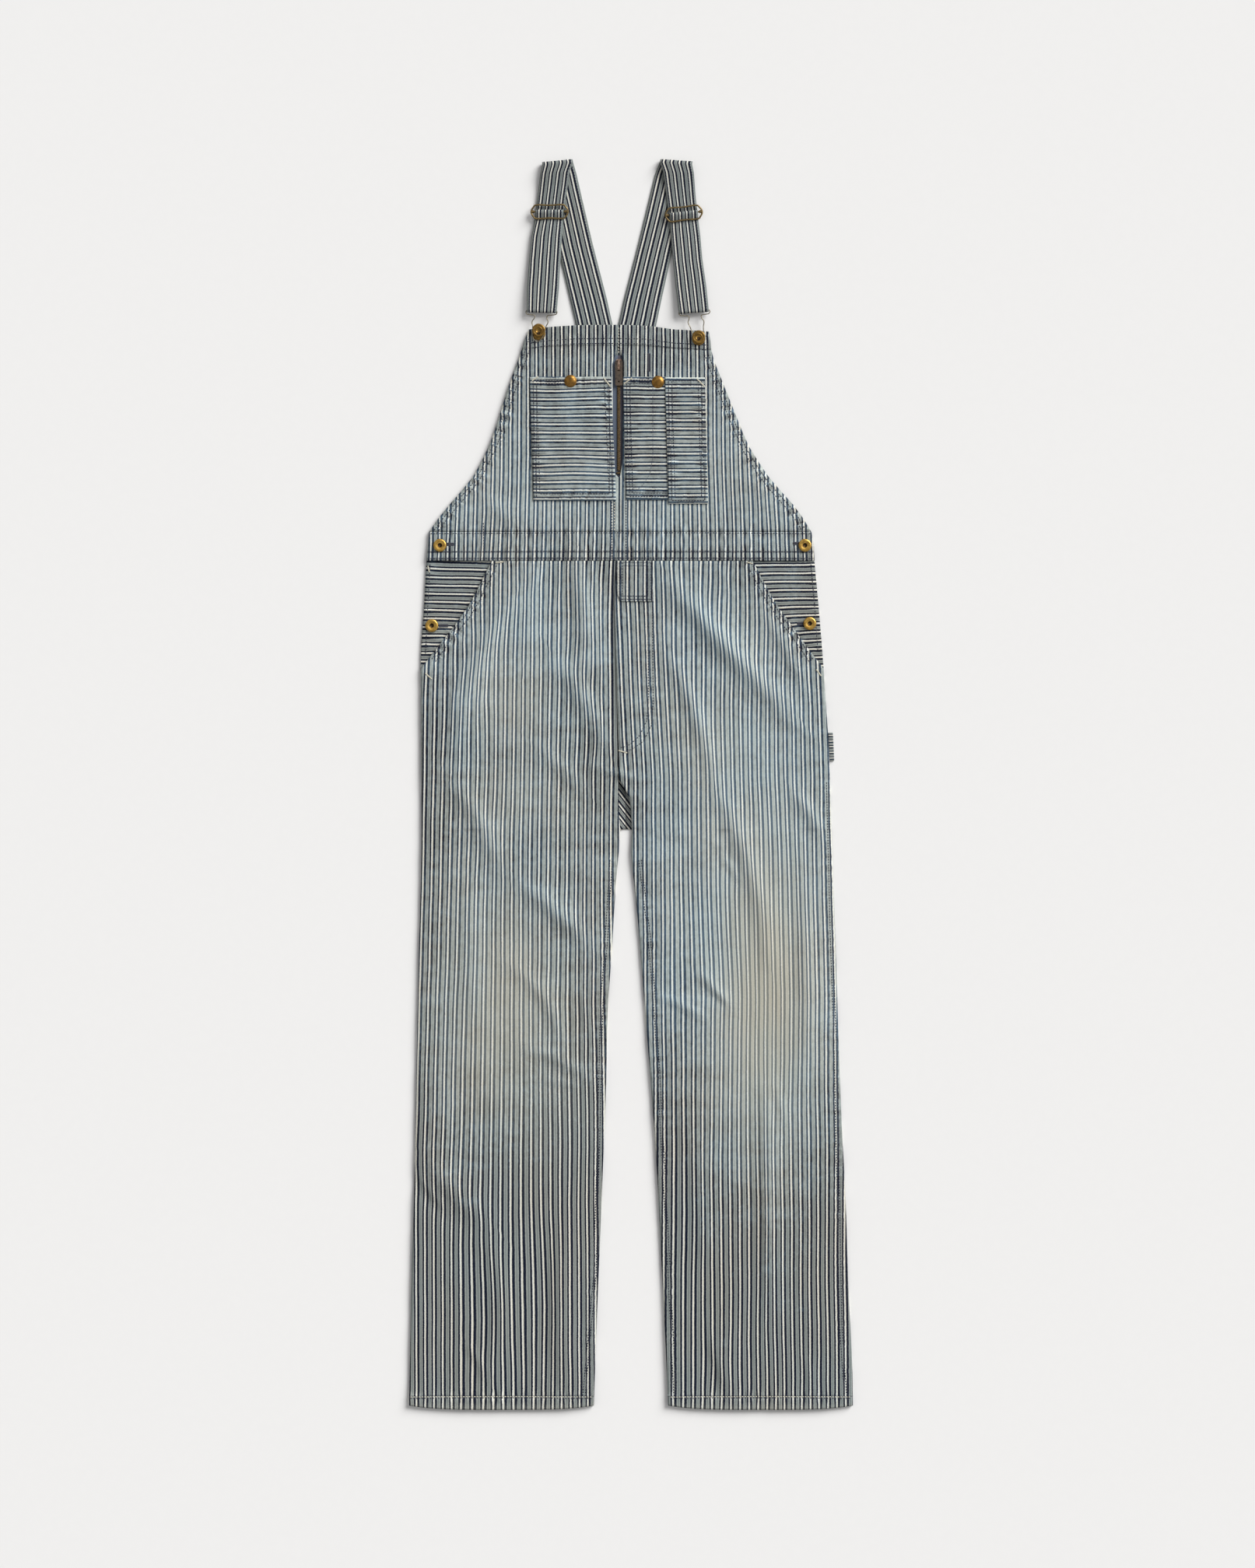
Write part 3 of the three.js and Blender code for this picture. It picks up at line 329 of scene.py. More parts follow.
def tape_cloth():
    """Zip tape: plain ribbed weave, bluer on its left half."""
    made, tree, shader = new_material("zip_tape", roughness=0.85, sheen=0.1)
    cloth = put(tree, "UVMap", uv_map="cloth").outputs[0]
    parts = put(tree, "SeparateXYZ", {0: cloth})
    side = sums(tree, "GREATER_THAN", parts.outputs[0], 0.5)
    halves = blend(tree, side, ink(88, 98, 114), ink(76, 74, 84))
    ribs = waves(tree, cloth, 9.0, "Y")
    grain = sums(tree, "MULTIPLY", mottle(tree, cloth, 40.0, 3.0), 0.5)
    light = sums(tree, "ADD", sums(tree, "MULTIPLY_ADD", ribs, 0.25, 0.6), grain)
    tree.links.new(blend(tree, 1.0, halves, light, kind="MULTIPLY"), shader.inputs["Base Color"])
    roughen(tree, shader, ribs, WEAVE_DEPTH, 0.6)
    return made


def thread(name, colour, tint):
    """Twisted sewing thread, slightly uneven in colour."""
    made, tree, shader = new_material(name, roughness=0.75, sheen=0.2)
    spot = put(tree, "TexCoord").outputs["Object"]
    shade = mottle(tree, spot, 160.0, 2.0)
    tree.links.new(blend(tree, shade, ink(*colour), ink(*tint)), shader.inputs["Base Color"])
    roughen(tree, shader, waves(tree, spot, 330.0, "DIAGONAL"), WEAVE_DEPTH, 0.5)
    return made


def metal(name, bright, dull, tarnish, roughness=0.36):
    """Old brass: bright where it is rubbed, tarnished in blotches, with fine scratches."""
    made, tree, shader = new_material(name, roughness=roughness, metallic=0.85)
    spot = put(tree, "TexCoord").outputs["Object"]
    blotch = mottle(tree, spot, 260.0, 5.0)
    colour = blend(tree, spread(tree, blotch, 0.35, 0.68), ink(*bright), ink(*dull))
    pits = mottle(tree, spot, 900.0, 3.0)
    dark = sums(tree, "MULTIPLY", spread(tree, pits, 0.5, 0.75), 0.7)
    tree.links.new(blend(tree, dark, colour, ink(*tarnish)), shader.inputs["Base Color"])
    rough = sums(tree, "MULTIPLY_ADD", blotch, 0.35, roughness - 0.12)
    tree.links.new(rough, shader.inputs["Roughness"])
    roughen(tree, shader, pits, 0.05 * MM, 0.35)
    return made


def floor_paper():
    """Pale ground with a hardly visible grain."""
    made, tree, shader = new_material("floor_paper", roughness=0.95)
    spot = put(tree, "TexCoord").outputs["Object"]
    grain = mottle(tree, spot, 90.0, 3.0)
    colour = blend(tree, grain, ink(238, 237, 235), ink(240, 239, 237))
    tree.links.new(colour, shader.inputs["Base Color"])
    return made


def lay_floor():
    """The white paper below the garment."""
    ground = bmesh.new()
    bmesh.ops.create_grid(ground, x_segments=1, y_segments=1, size=FLOOR_REACH)
    bmesh.ops.translate(ground, verts=ground.verts, vec=(0, 0, -FLOOR_DROP))
    finish_mesh("floor", ground, floor_paper())


# Building helpers


def finish_mesh(name, shape, *materials):
    """Turns a bmesh into an object at the origin."""
    mesh = bpy.data.meshes.new(name)
    shape.normal_update()
    shape.to_mesh(mesh)
    shape.free()
    for finish in materials:
        mesh.materials.append(finish)
    mesh.polygons.foreach_set("use_smooth", [True] * len(mesh.polygons))
    made = bpy.data.objects.new(name, mesh)
    bpy.context.collection.objects.link(made)
    return made


def spots(shape):
    """x, down and height of every vertex, in millimetres."""
    at = np.array([vertex.co[:] for vertex in shape.verts]) / MM
    return at[:, 0], FOLD_LINE - at[:, 1], at[:, 2]


def lift_to(shape, heights):
    """Sets the height of every vertex, in millimetres."""
    for vertex, height in zip(shape.verts, heights):
        vertex.co.z = height * MM


# Creases and the lie of the cloth

# Ridges of the front: both ends, how far they bow sideways, the distance from the crest to
# the foot, and the height above what the solids already have. "bunch" is how strongly the
# stripes crowd over the crest.
CREASES = [
    # x1, down1, x2, down2, bow, half, height, bunch
    (-68, 519, -60, 660, 5, 13, 1.5, 3.4),
    (-36, 560, -34, 700, -3, 8, 0.9, 1.8),
    (-100, 640, -30, 762, 8, 13, 1.3, 3.0),
    (-118, 760, -58, 815, 5, 11, 1.0, 1.8),
    (-150, 570, -226, 780, -16, 12, 1.5, 3.2),
    (-196, 520, -214, 610, -5, 9, 0.9, 1.8),
    (-132, 523, -138, 640, 4, 15, 0.8, 2.0),
    (-238, 790, -165, 915, 8, 12, 1.0, 2.0),
    (-36, 725, -54, 790, 3, 8, 0.8, 1.6),
    (-140, 930, -52, 1012, 4, 11, 1.1, 1.6),
    (-204, 940, -206, 1095, 3, 12, 0.6, 1.2),
    (-164, 1030, -88, 1160, 22, 9, 0.7, 1.2),
    (-138, 1142, -50, 1182, 6, 8, 0.8, 1.2),
    (-262, 1285, -182, 1365, -5, 14, 1.0, 2.4),
    (-184, 1385, -178, 1555, 14, 12, 0.9, 2.4),
    (-82, 1350, -84, 1570, -6, 11, 0.6, 1.2),
    (50, 535, 208, 712, -7, 13, 1.6, 3.4),
    (170, 580, 226, 690, 5, 8, 0.9, 1.8),
    (52, 640, 110, 808, 6, 9, 0.9, 2.0),
    (110, 808, 176, 1030, 12, 10, 1.0, 2.2),
    (208, 812, 246, 870, 3, 8, 0.9, 1.6),
    (216, 880, 226, 1200, 4, 9, 0.7, 1.4),
    (22, 1072, 96, 1106, 5, 6, 0.8, 1.0),
    (86, 1046, 126, 1086, 3, 6, 0.7, 0.8),
    (174, 1195, 173, 1490, 3, 9, 1.0, 2.0),
    (84, 1240, 92, 1450, 5, 11, 0.5, 1.2),
    (120, 1500, 128, 1585, -3, 10, 0.6, 1.2),
    (-190, 430, -150, 470, 2, 9, 0.5, 1.6),
    (168, 385, 178, 478, -4, 7, 0.5, 1.4),
    (-50, 522, -46, 556, 1, 4, 0.7, 0.8),
    (-92, 520, -100, 585, 3, 6, 0.6, 1.0),
    (-120, 522, -128, 560, 2, 5, 0.5, 0.9),
    (-51, 782, 12, 797, 2, 5, 0.9, 0.6),
    (-30, 800, 2, 770, 2, 4, 0.7, 0.5),
    (166, 528, 184, 556, 2, 4, 0.8, 0.9),
    (118, 522, 126, 560, -2, 6, 0.5, 0.9),
    (78, 520, 84, 575, 2, 7, 0.5, 1.0),
    (-208, 640, -232, 725, -4, 5, 0.8, 1.2),
    (-184, 660, -200, 740, -3, 5, 0.6, 1.0),
    (60, 765, 168, 764, 2, 3.5, 0.35, 0.2),
    (104, 880, 118, 884, 1, 5, 0.7, 0.4),
    (114, 893, 140, 930, 2, 5, 0.6, 0.6),
    (-118, 1184, -62, 1192, 2, 5, 0.6, 0.3),
    (-66, 1068, -54, 1126, 2, 6, 0.5, 0.7),
    (60, 1078, 96, 1082, 1, 4, 0.6, 0.3),
    (100, 1064, 124, 1084, 1, 4, 0.6, 0.3),
    (184, 1186, 198, 1246, 2, 6, 0.6, 0.8),
    (-274, 1300, -236, 1350, -3, 6, 0.8, 1.0),
    (-210, 1522, -190, 1560, 2, 6, 0.8, 0.9),
    (-104, 1360, -98, 1590, 3, 9, 0.5, 1.0),
    (-56, 1420, -52, 1585, 2, 6, 0.6, 0.6),
    (104, 1515, 120, 1575, -2, 7, 0.6, 1.0),
    (224, 1535, 232, 1588, 1, 6, 0.6, 0.9),
    (-120, 855, -60, 870, 3, 12, 0.4, 0.4),
    (40, 860, 90, 880, 3, 10, 0.4, 0.4),
    (-240, 860, -180, 880, 4, 14, 0.4, 0.5),
    (190, 720, 240, 745, 3, 7, 0.6, 0.6),
    (-226, 468, -250, 520, -2, 7, 0.5, 1.0),
    (-120, 300, -124, 420, 3, 9, 0.0, 0.6),
]
CREASE_PARTS = 8
TROUGH = 0.35
CREASE_GAIN = 2.4
TROUGH_AWAY = 1.7
CREASE_REACH = 4
CROWD_REACH = 2.6
ENDS_SWELL = 0.08


def creases(x, down):
    """Rise of the creases, and how far they crowd the stripes sideways, in millimetres."""
    rise = np.zeros_like(x)
    crowd = np.zeros_like(x)
    for x1, down1, x2, down2, bow, half, height, bunch in CREASES:
        run = math.hypot(x2 - x1, down2 - down1)
        side = np.array([down2 - down1, x1 - x2]) / run
        flip = 1 if side[0] - side[1] >= 0 else -1
        shares = np.linspace(0, 1, CREASE_PARTS + 1)
        bend = 4 * bow * shares * (1 - shares)
        points_x = x1 + (x2 - x1) * shares + side[0] * bend
        points_d = down1 + (down2 - down1) * shares + side[1] * bend
        reach = CREASE_REACH * half
        near = (
            (x > points_x.min() - reach)
            & (x < points_x.max() + reach)
            & (down > points_d.min() - reach)
            & (down < points_d.max() + reach)
        )
        if not near.any():
            continue
        px, pd = x[near], down[near]
        best = np.full(px.shape, FAR_OFF)
        signed = np.zeros_like(px)
        swell = np.zeros_like(px)
        for index in range(CREASE_PARTS):
            ax, ad = points_x[index], points_d[index]
            dx, dd = points_x[index + 1] - ax, points_d[index + 1] - ad
            along = np.clip(((px - ax) * dx + (pd - ad) * dd) / (dx * dx + dd * dd), 0, 1)
            off_x, off_d = px - ax - dx * along, pd - ad - dd * along
            away = np.hypot(off_x, off_d)
            closer = away < best
            best = np.where(closer, away, best)
            turn = np.sign(off_x * side[0] + off_d * side[1]) * flip
            signed = np.where(closer, away * turn, signed)
            share = (index + along) / CREASE_PARTS
            phase = ENDS_SWELL + (1 - 2 * ENDS_SWELL) * share
            swell = np.where(closer, np.sin(math.pi * phase), swell)
        crest = np.exp(-((signed / half) ** 2))
        trough = TROUGH * np.exp(-((signed / half + TROUGH_AWAY) ** 2))
        rise[near] += CREASE_GAIN * height * swell * (crest - trough)
        leaning = abs(side[0]) * flip
        fall = np.exp(-((best / (CROWD_REACH * half)) ** 2))
        crowd[near] += bunch * swell * np.tanh(signed / half) * leaning * fall
    return rise, crowd


# Broad and fine unevenness: length across, length down, height.
CRUMPLES = [(34, 120, 0.8), (15, 34, 0.55), (7, 11, 0.16)]
PATCH_CRUMPLES = [(17, 42, 0.75), (9, 12, 0.28)]


def uneven(across, along, level):
    """Smooth noise at each place."""
    return np.array([noise.noise(Vector((a, b, level))) for a, b in zip(across, along)])


def crumple(x, down, sizes, seed):
    """Uneven lie of washed cloth, from zero upwards."""
    total = np.zeros_like(x)
    for index, (across, along, height) in enumerate(sizes):
        level = seed + 7.3 * index
        total += height * (uneven(x / across, down / along, level) + 0.5)
    return total


# Metal parts that hold the cloth still: x, down, reach.
STILL = [
    (-118.5, 222, 20),
    (86.8, 231, 20),
    (-77.7, 285.6, 12),
    (34.6, 286.7, 12),
    (-245.3, 496.4, 12),
    (-255.8, 599.5, 12),
    (223.4, 496.4, 12),
    (229.7, 596.7, 12),
    (-15.6, 264, 14),
]


def held(x, down):
    """1 where the cloth is free, and 0 beside the metal parts."""
    free = np.ones_like(x)
    for at_x, at_down, reach in STILL:
        free *= 1 - np.exp(-(((x - at_x) ** 2 + (down - at_down) ** 2) / reach**2))
    return free


def front_lie(x, down):
    """Height that every layer of the front gains, in millimetres."""
    rise, _ = creases(x, down)
    return np.maximum(rise + crumple(x, down, CRUMPLES, 2.0), 0) * held(x, down)


# Fading, wear and painted shade

# Wash-down of the front, level by level: 0 is dark new cloth, 1 is fully faded.
FADE_LEVELS = [
    (213, -0.05),
    (238, 0.05),
    (260, 0.3),
    (360, 0.58),
    (440, 0.66),
    (476, 0.58),
    (492, 0.5),
    (515, 0.42),
    (530, 0.62),
    (620, 0.76),
    (760, 0.76),
    (900, 0.81),
    (1100, 0.84),
    (1240, 0.52),
    (1330, 0.16),
    (1430, -0.15),
    (1600, -0.4),
]
LEAST_FADE = -0.7
LEGS_START = 560
LEGS_RAMP = 240
SHINS_START = 1120
SHINS_RAMP = 160
SIDE_FADES = ((-60, -0.3), (0, -0.08), (60, 0.14))
# Rubbed ovals: x, down, half width, half length, amount.
RUBBED = [
    (-166, 1095, 92, 165, 0.58),
    (-120, 1180, 70, 120, 0.3),
    (172, 1075, 64, 205, 1.0),
    (140, 1180, 60, 120, 0.35),
    (-150, 700, 60, 70, 0.3),
    (110, 760, 70, 70, 0.25),
    (-150, 820, 90, 60, 0.25),
    (130, 900, 60, 80, 0.3),
]
# Cloth that kept its dye: x, down, half width, half length, amount.
DYED = [
    (30, 640, 40, 120, 0.2),
    (0, 800, 90, 70, 0.25),
    (72, 1180, 38, 280, 0.4),
    (-78, 1180, 38, 260, 0.3),
    (-70, 560, 60, 60, 0.18),
    (130, 560, 50, 60, 0.1),
    (-60, 700, 40, 60, 0.2),
    (120, 700, 60, 60, 0.15),
    (-245, 800, 40, 200, 0.2),
    (225, 720, 30, 140, 0.2),
    (-60, 245, 50, 22, 0.2),
    (50, 245, 50, 22, 0.2),
]
# Painted shade along the front's sides: how far in it reaches, the level where it starts, and how
# much it darkens.
SIDE_SHADE = 30
SIDE_SHADE_START = 500
SIDE_PAINTED_SHADE_STRENGTH = 0.28
# Paler crests of the creases: partly wear, partly painted highlight.
CREASE_CREST_WEAR_AND_HIGHLIGHT = 0.12
RUB_FALL = 1.3


def oval(x, down, at_x, at_down, half_x, half_down):
    """0 in the middle of an oval, and 1 at its border."""
    return ((x - at_x) / half_x) ** 2 + ((down - at_down) / half_down) ** 2


def fading_and_shade(x, down, left_edge, right_edge):
    """Wash-down and rubbing of the front cloth at each place; the wash-down also carries painted
    shade along the sides and paler crease crests, partly wear and partly painted highlight.
    """
    levels, amounts = zip(*FADE_LEVELS)
    fade_and_shade = np.interp(down, levels, amounts)
    # Painted shade along the sides.
    side = np.minimum(x - left_edge, right_edge - x)
    painted_side_shade = np.exp(-((np.maximum(side, 0) / SIDE_SHADE) ** 2)) * (down > SIDE_SHADE_START)
    fade_and_shade -= SIDE_PAINTED_SHADE_STRENGTH * painted_side_shade
    rise, _ = creases(x, down)
    shins = np.where(x > 0, 1 - ease((down - SHINS_START) / SHINS_RAMP), 1)
    legs = ease((down - LEGS_START) / LEGS_RAMP)
    # Crests of the creases come out paler, partly worn and partly painted highlight.
    fade_and_shade += CREASE_CREST_WEAR_AND_HIGHLIGHT * rise + np.interp(x, *zip(*SIDE_FADES)) * legs * shins
    for *place_and_size, amount in DYED:
        fade_and_shade -= amount * np.exp(-oval(x, down, *place_and_size))
    worn = np.zeros_like(x)
    for *place_and_size, amount in RUBBED:
        worn = np.maximum(worn, amount * np.exp(-RUB_FALL * oval(x, down, *place_and_size)))
    return np.clip(fade_and_shade, LEAST_FADE, 1), np.clip(worn, 0, 1)


# Stripes

# Sideways drift of the legs' stripes, in millimetres, at each x of a level.
RIGHT_DRIFT = {
    "x": (-221, -191, -161, -131, -101, -71, -46),
    "levels": {
        525: (9, 8, 6, 3.3, 1.5, 0.3, 0),
        695: (0, 0, 0, 0, 0, 0, 0),
        887: (-2.2, -1.4, -2.2, -2.1, -0.8, 1, 0),
        1079: (-7.5, -4.6, -3, -1.3, -0.5, 1.7, 0),
        1271: (-12, -8.5, -5.5, -1.1, 1.8, 4.3, 2.2),
        1559: (-11.3, -5.4, -1.4, 2.3, 4.2, 4.7, 2.4),
    },
}
LEFT_DRIFT = {
    "x": (49, 79, 109, 139, 169, 199, 224),
    "levels": {
        525: (-10.5, -8.5, -6, -4.8, -4.3, -9, -11),
        695: (-4.4, -3, -2, -1.6, -1.5, -3, -3),
        795: (0, 0, 0, 0, 0, 0, 0),
        887: (0.7, 1.1, 3, 4, 3.6, 2.6, 2.5),
        1079: (1.9, 6, 8, 9, 8.4, 6.4, 6.2),
        1271: (3.3, 6.6, 8, 8.8, 8.2, 6.5, 6.5),
        1559: (2.6, 5.6, 7.8, 9.2, 9.6, 8.7, 8.4),
    },
}
BIB_DRIFT = {
    "x": (-240, -160, -60, 20, 110, 220),
    "levels": {
        213: (2, 1, 0, 0, -1, -3),
        330: (1, 0.5, 0, 0, 0, -1),
        470: (-4, -1.5, -0.5, 0, 2.5, 6),
        516: (-5, -2.5, -0.5, 0, 3, 7),
    },
}
LEG_REPEAT = 11.4
BIB_REPEAT = 10.9
SWAY = 0.9


def drift(table, x, down):
    """Sideways drift of the stripes at each place."""
    levels = sorted(table["levels"])
    values = np.array([np.interp(x, table["x"], table["levels"][level]) for level in levels])
    spot = np.interp(down, levels, range(len(levels)))
    low = np.minimum(spot.astype(int), len(levels) - 2)
    share = spot - low
    columns = np.arange(len(x))
    return values[low, columns] * (1 - share) + values[low + 1, columns] * share


def upright(table, repeat, start=0.0, bunching=1.0):
    """Stripes that run down the garment, crowded over the creases."""

    def stripes(x, down):
        _, crowd = creases(x, down)
        sway = SWAY * uneven(x / 60, down / 170, 5.0)
        shift = drift(table, x, down) if table else np.zeros_like(x)
        across = (x - shift + bunching * crowd + sway) / repeat + start
        return across, -down / repeat

    return stripes


def level_stripes(repeat, start=0.0, lean=0.0, wave=1.6):
    """Stripes that run across the garment, a little wavy."""

    def stripes(x, down):
        sway = wave * uneven(x / 70, down / 60, 9.0)
        return (down + lean * x + sway) / repeat + start, x / repeat

    return stripes


# Cloth pieces

MERGED = 1e-5
UPWARD = 0.3
EASINGS = 9
EASING = 0.5
LEVEL_STEP = 10
EDGE_WIDTH = 1.6
cloth_material = hickory()
faces_up = {}


def laid_face(node, cuts, easings=EASINGS):
    """The upper face of one laid CAD piece, cut finer and eased."""
    shape = bmesh.new()
    shape.from_mesh(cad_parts[node].data)
    bmesh.ops.remove_doubles(shape, verts=shape.verts, dist=MERGED)
    shape.normal_update()
    hidden = [face for face in shape.faces if face.normal.z < UPWARD]
    bmesh.ops.delete(shape, geom=hidden, context="FACES")
    bmesh.ops.subdivide_edges(shape, edges=shape.edges, cuts=cuts, use_grid_fill=True)
    for _ in range(easings):
        smooth_heights(shape)
    return shape


def smooth_heights(shape):
    """Eases every height towards those beside it."""
    bmesh.ops.smooth_vert(shape, verts=shape.verts, factor=EASING, use_axis_z=True)


def edges_at(x, down):
    """Left and right ends of the piece at each level, from its own points."""
    half = LEVEL_STEP / 2
    steps = np.arange(down.min() - half, down.max() + 3 * half, LEVEL_STEP)
    band = np.clip(((down - steps[0]) / LEVEL_STEP).astype(int), 0, len(steps) - 1)
    used = np.unique(band)
    middles = steps[used] + half
    lows = [x[band == index].min() for index in used]
    highs = [x[band == index].max() for index in used]
    return np.interp(down, middles, lows), np.interp(down, middles, highs)


def paint(made, values, name):
    """Stores one number for every vertex."""
    store = made.data.attributes.new(name, "FLOAT", "POINT")
    store.data.foreach_set("value", np.asarray(values, np.float32))


def map_cloth(made, across, along):
    """Gives the mesh its cloth map."""
    mesh = made.data
    chart = mesh.uv_layers.new(name="cloth")
    corners = np.zeros(len(mesh.loops), int)
    mesh.loops.foreach_get("vertex_index", corners)
    pairs = np.column_stack((np.asarray(across)[corners], np.asarray(along)[corners]))
    chart.data.foreach_set("uv", pairs.astype(np.float32).ravel())


def give_thickness(made, thickness, offset=-1, plies=None):
    """Turns a face into a wall below it, only as thick as one ply where plies is 0."""
    wall = made.modifiers.new("wall", "SOLIDIFY")
    wall.thickness = thickness * MM
    wall.offset = offset
    if plies is not None:
        group = made.vertex_groups.new(name="plies")
        for index, weight in enumerate(plies):
            group.add([index], float(weight), "REPLACE")
        wall.vertex_group = "plies"
        wall.thickness_vertex_group = CLOTH / thickness


def stand_for(made, node):
    """The mesh takes its CAD node's place on the garment."""
    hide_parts(node)
    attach(made, "garment")


def paint_look(made, x, down, look):
    """Paints the wash-down with its painted shade and highlight, the rubbing, sewn rows and puckers
    of one piece.
    """
    fade_and_shade, worn = fading_and_shade(x, down, *edges_at(x, down))
    if "fade_and_shade" in look:
        fade_and_shade = look["fade_and_shade"] + 0 * x
    if "less" in look:
        fade_and_shade = np.maximum(fade_and_shade - look["less"], LEAST_FADE)
    if "worn" in look:
        worn = worn * look["worn"]
    if "rubbed" in look:
        worn = np.maximum(worn, look["rubbed"](x, down))
    if "edge" in look:
        rub = look["edge"] * np.exp(-((inside_box(x, down) / EDGE_WIDTH) ** 2))
        fade_and_shade = np.clip(fade_and_shade + rub, 0, 1)
    # Painted shadow, taken off the wash-down.
    if "shadow" in look:
        fade_and_shade = np.maximum(fade_and_shade - look["shadow"](x, down), LEAST_FADE)
    rows = look["rows"](x, down) if "rows" in look else 0 * x
    near, run = (0 * x, 0 * x) if "unsewn" in look else sewn(x, down)
    for name, values in zip(PAINTS, (fade_and_shade, worn, rows, near, run)):
        paint(made, values, name)


def cloth_piece(
    node, shape, stripes, look=None, thickness=CLOTH, plies=None
):
    """Finishes one cut of cloth that stands for its CAD node."""
    x, down, _ = spots(shape)
    faces_up[node] = BVHTree.FromBMesh(shape)
    made = finish_mesh(node + "_cloth", shape, cloth_material)
    map_cloth(made, *stripes(x, down))
    paint_look(made, x, down, look or {})
    if plies is None:
        give_thickness(made, thickness)
    else:
        give_thickness(made, HEM_PLIES, plies=plies(x, down))
    stand_for(made, node)


def raised(node, cuts, lie=front_lie):
    """A laid face with the lie of the cloth added."""
    shape = laid_face(node, cuts)
    x, down, height = spots(shape)
    lift_to(shape, height + lie(x, down))
    return shape


def highest(x, down, names):
    """Height in metres of the highest named cloth at one place, or None beside it."""
    start = place(x, down, ABOVE_ALL)
    hits = [faces_up[name].ray_cast(start, Vector((0, 0, -1)))[0] for name in names]
    return max((hit.z for hit in hits if hit is not None), default=None)


def top_at(x, down, names):
    """Height of the named cloth at one place, or of what lies nearest to it."""
    found = highest(x, down, names)
    if found is None:
        nearest = [faces_up[name].find_nearest(place(x, down, 5))[0] for name in names]
        found = max(point.z for point in nearest)
    return found / MM


LOOSE_RAMP = 22


def patched(node, cuts, below, seed):
    """A patch that lies on other cloth, with a lie of its own between its sewn edges."""
    shape = laid_face(node, cuts, easings=2)
    x, down, _ = spots(shape)
    rest = np.array([top_at(a, b, below) for a, b in zip(x, down)]) + GAP + CLOTH
    loose = ease(inside_box(x, down) / LOOSE_RAMP) * held(x, down)
    lift_to(shape, rest + crumple(x, down, PATCH_CRUMPLES, seed) * loose)
    smooth_heights(shape)
    _, _, height = spots(shape)
    lift_to(shape, np.maximum(height, rest))
    return shape


def hem_rows(first, second, distance):
    """Numbers the sewn rows by distance from an edge: 1 at the first, 2 at the second."""

    def rows(x, down):
        return 1 + (distance(x, down) - first) / (second - first)

    return rows


def inside_box(x, down):
    """Distance of each place from the nearest side of the piece's box."""
    across = np.minimum(x - x.min(), x.max() - x)
    return np.minimum(across, np.minimum(down - down.min(), down.max() - down))


OPEN_SIDE = 60


def inside_left_open(x, down):
    """The same, but for the side towards the wearer's left, which isn't sewn."""
    across = np.minimum(x - x.min(), OPEN_SIDE)
    return np.minimum(across, np.minimum(down - down.min(), down.max() - down))


PUCKER_REACH = 6.5
CENTRE_ROWS_START = 440
LEG_SEAMS_START = 800
TAB_TOP = 518
FLY_TOP = 570
CALM_STARTS = (TAB_TOP, FLY_TOP)
CALM_ROW = 0.35
FULL_ROW = 0.85
SAME_RUN = 5
ROWS_APART = 7


def beside(path, x, down):
    """Distance of each place from a sewn row, and how far along the row it lies."""
    nearest = np.full(x.shape, FAR_OFF)
    run = np.zeros_like(x)
    start = 0.0
    for (x1, down1), (x2, down2) in zip(path, path[1:]):
        dx, dd = x2 - x1, down2 - down1
        size = math.hypot(dx, dd)
        along = np.clip(((x - x1) * dx + (down - down1) * dd) / size**2, 0, 1)
        away = np.hypot(x - x1 - dx * along, down - down1 - dd * along)
        run = np.where(away < nearest, start + along * size, run)
        nearest = np.minimum(nearest, away)
        start += size
    return nearest, run


def sewn(x, down):
    """How strongly each place puckers beside a sewn row, and how far along the row it lies."""
    rows = []
    for kind, path in seam_lines():
        if kind in ("fine", "plain") or path[0][1] == CENTRE_ROWS_START:
            continue
        calm = LEG_SEAMS_START <= path[0][1] < HEM_ROW or path[0][1] in CALM_STARTS
        rows.append((*beside(path, x, down), CALM_ROW if calm else FULL_ROW))
    away = np.array([row[0] for row in rows])
    runs = np.array([row[1] for row in rows])
    first = away.argmin(axis=0)
    columns = np.arange(len(x))
    nearest, run = away[first, columns], runs[first, columns]
    strength = np.array([row[2] for row in rows])[first]
    # Where rows that run differently meet, the puckers die out.
    differs = np.abs(runs - run) > SAME_RUN
    rival = np.where(differs, away, FAR_OFF).min(axis=0)
    apart = 1 - np.exp(-(((rival - nearest) / ROWS_APART) ** 2))
    return strength * apart * np.exp(-((nearest / PUCKER_REACH) ** 2)), run


# Lean of the seat's stripes towards its centre seam.
SEAT_DRIFT = {
    "x": (-270, -40, -24, 10, 40, 270),
    "levels": {
        500: (-8, -2, -60, -60, 2, 8),
        790: (50, 8, -20, -20, -8, -50),
        868: (60, 10, 40, 40, -10, -60),
        900: (58, 10, 8, 0, -10, -58),
        1600: (-10, -2, 0, 0, 2, 10),
    },
}


def hem_doubled(x, down):
    """1 where a leg's hem is turned up."""
    return (down > HEM_START + 1).astype(float)


def bib_doubled(x, down):
    """1 where the bib's top is turned down."""
    return (down < BIB_HEM_END - 1).astype(float)


def painted_rise_shadow(x, down):
    """Painted shadow where the back shows between the legs."""
    return 1.1 * np.exp(-((x / 40) ** 2) - ((down - 830) / 70) ** 2)


def flat_lie(x, down):
    """No lie of its own."""
    return 0 * x


def pocket_lie(x, down):
    """Low ripples of a hand pocket's facing."""
    return 0.12 + 0.12 * np.sin(x / 7)


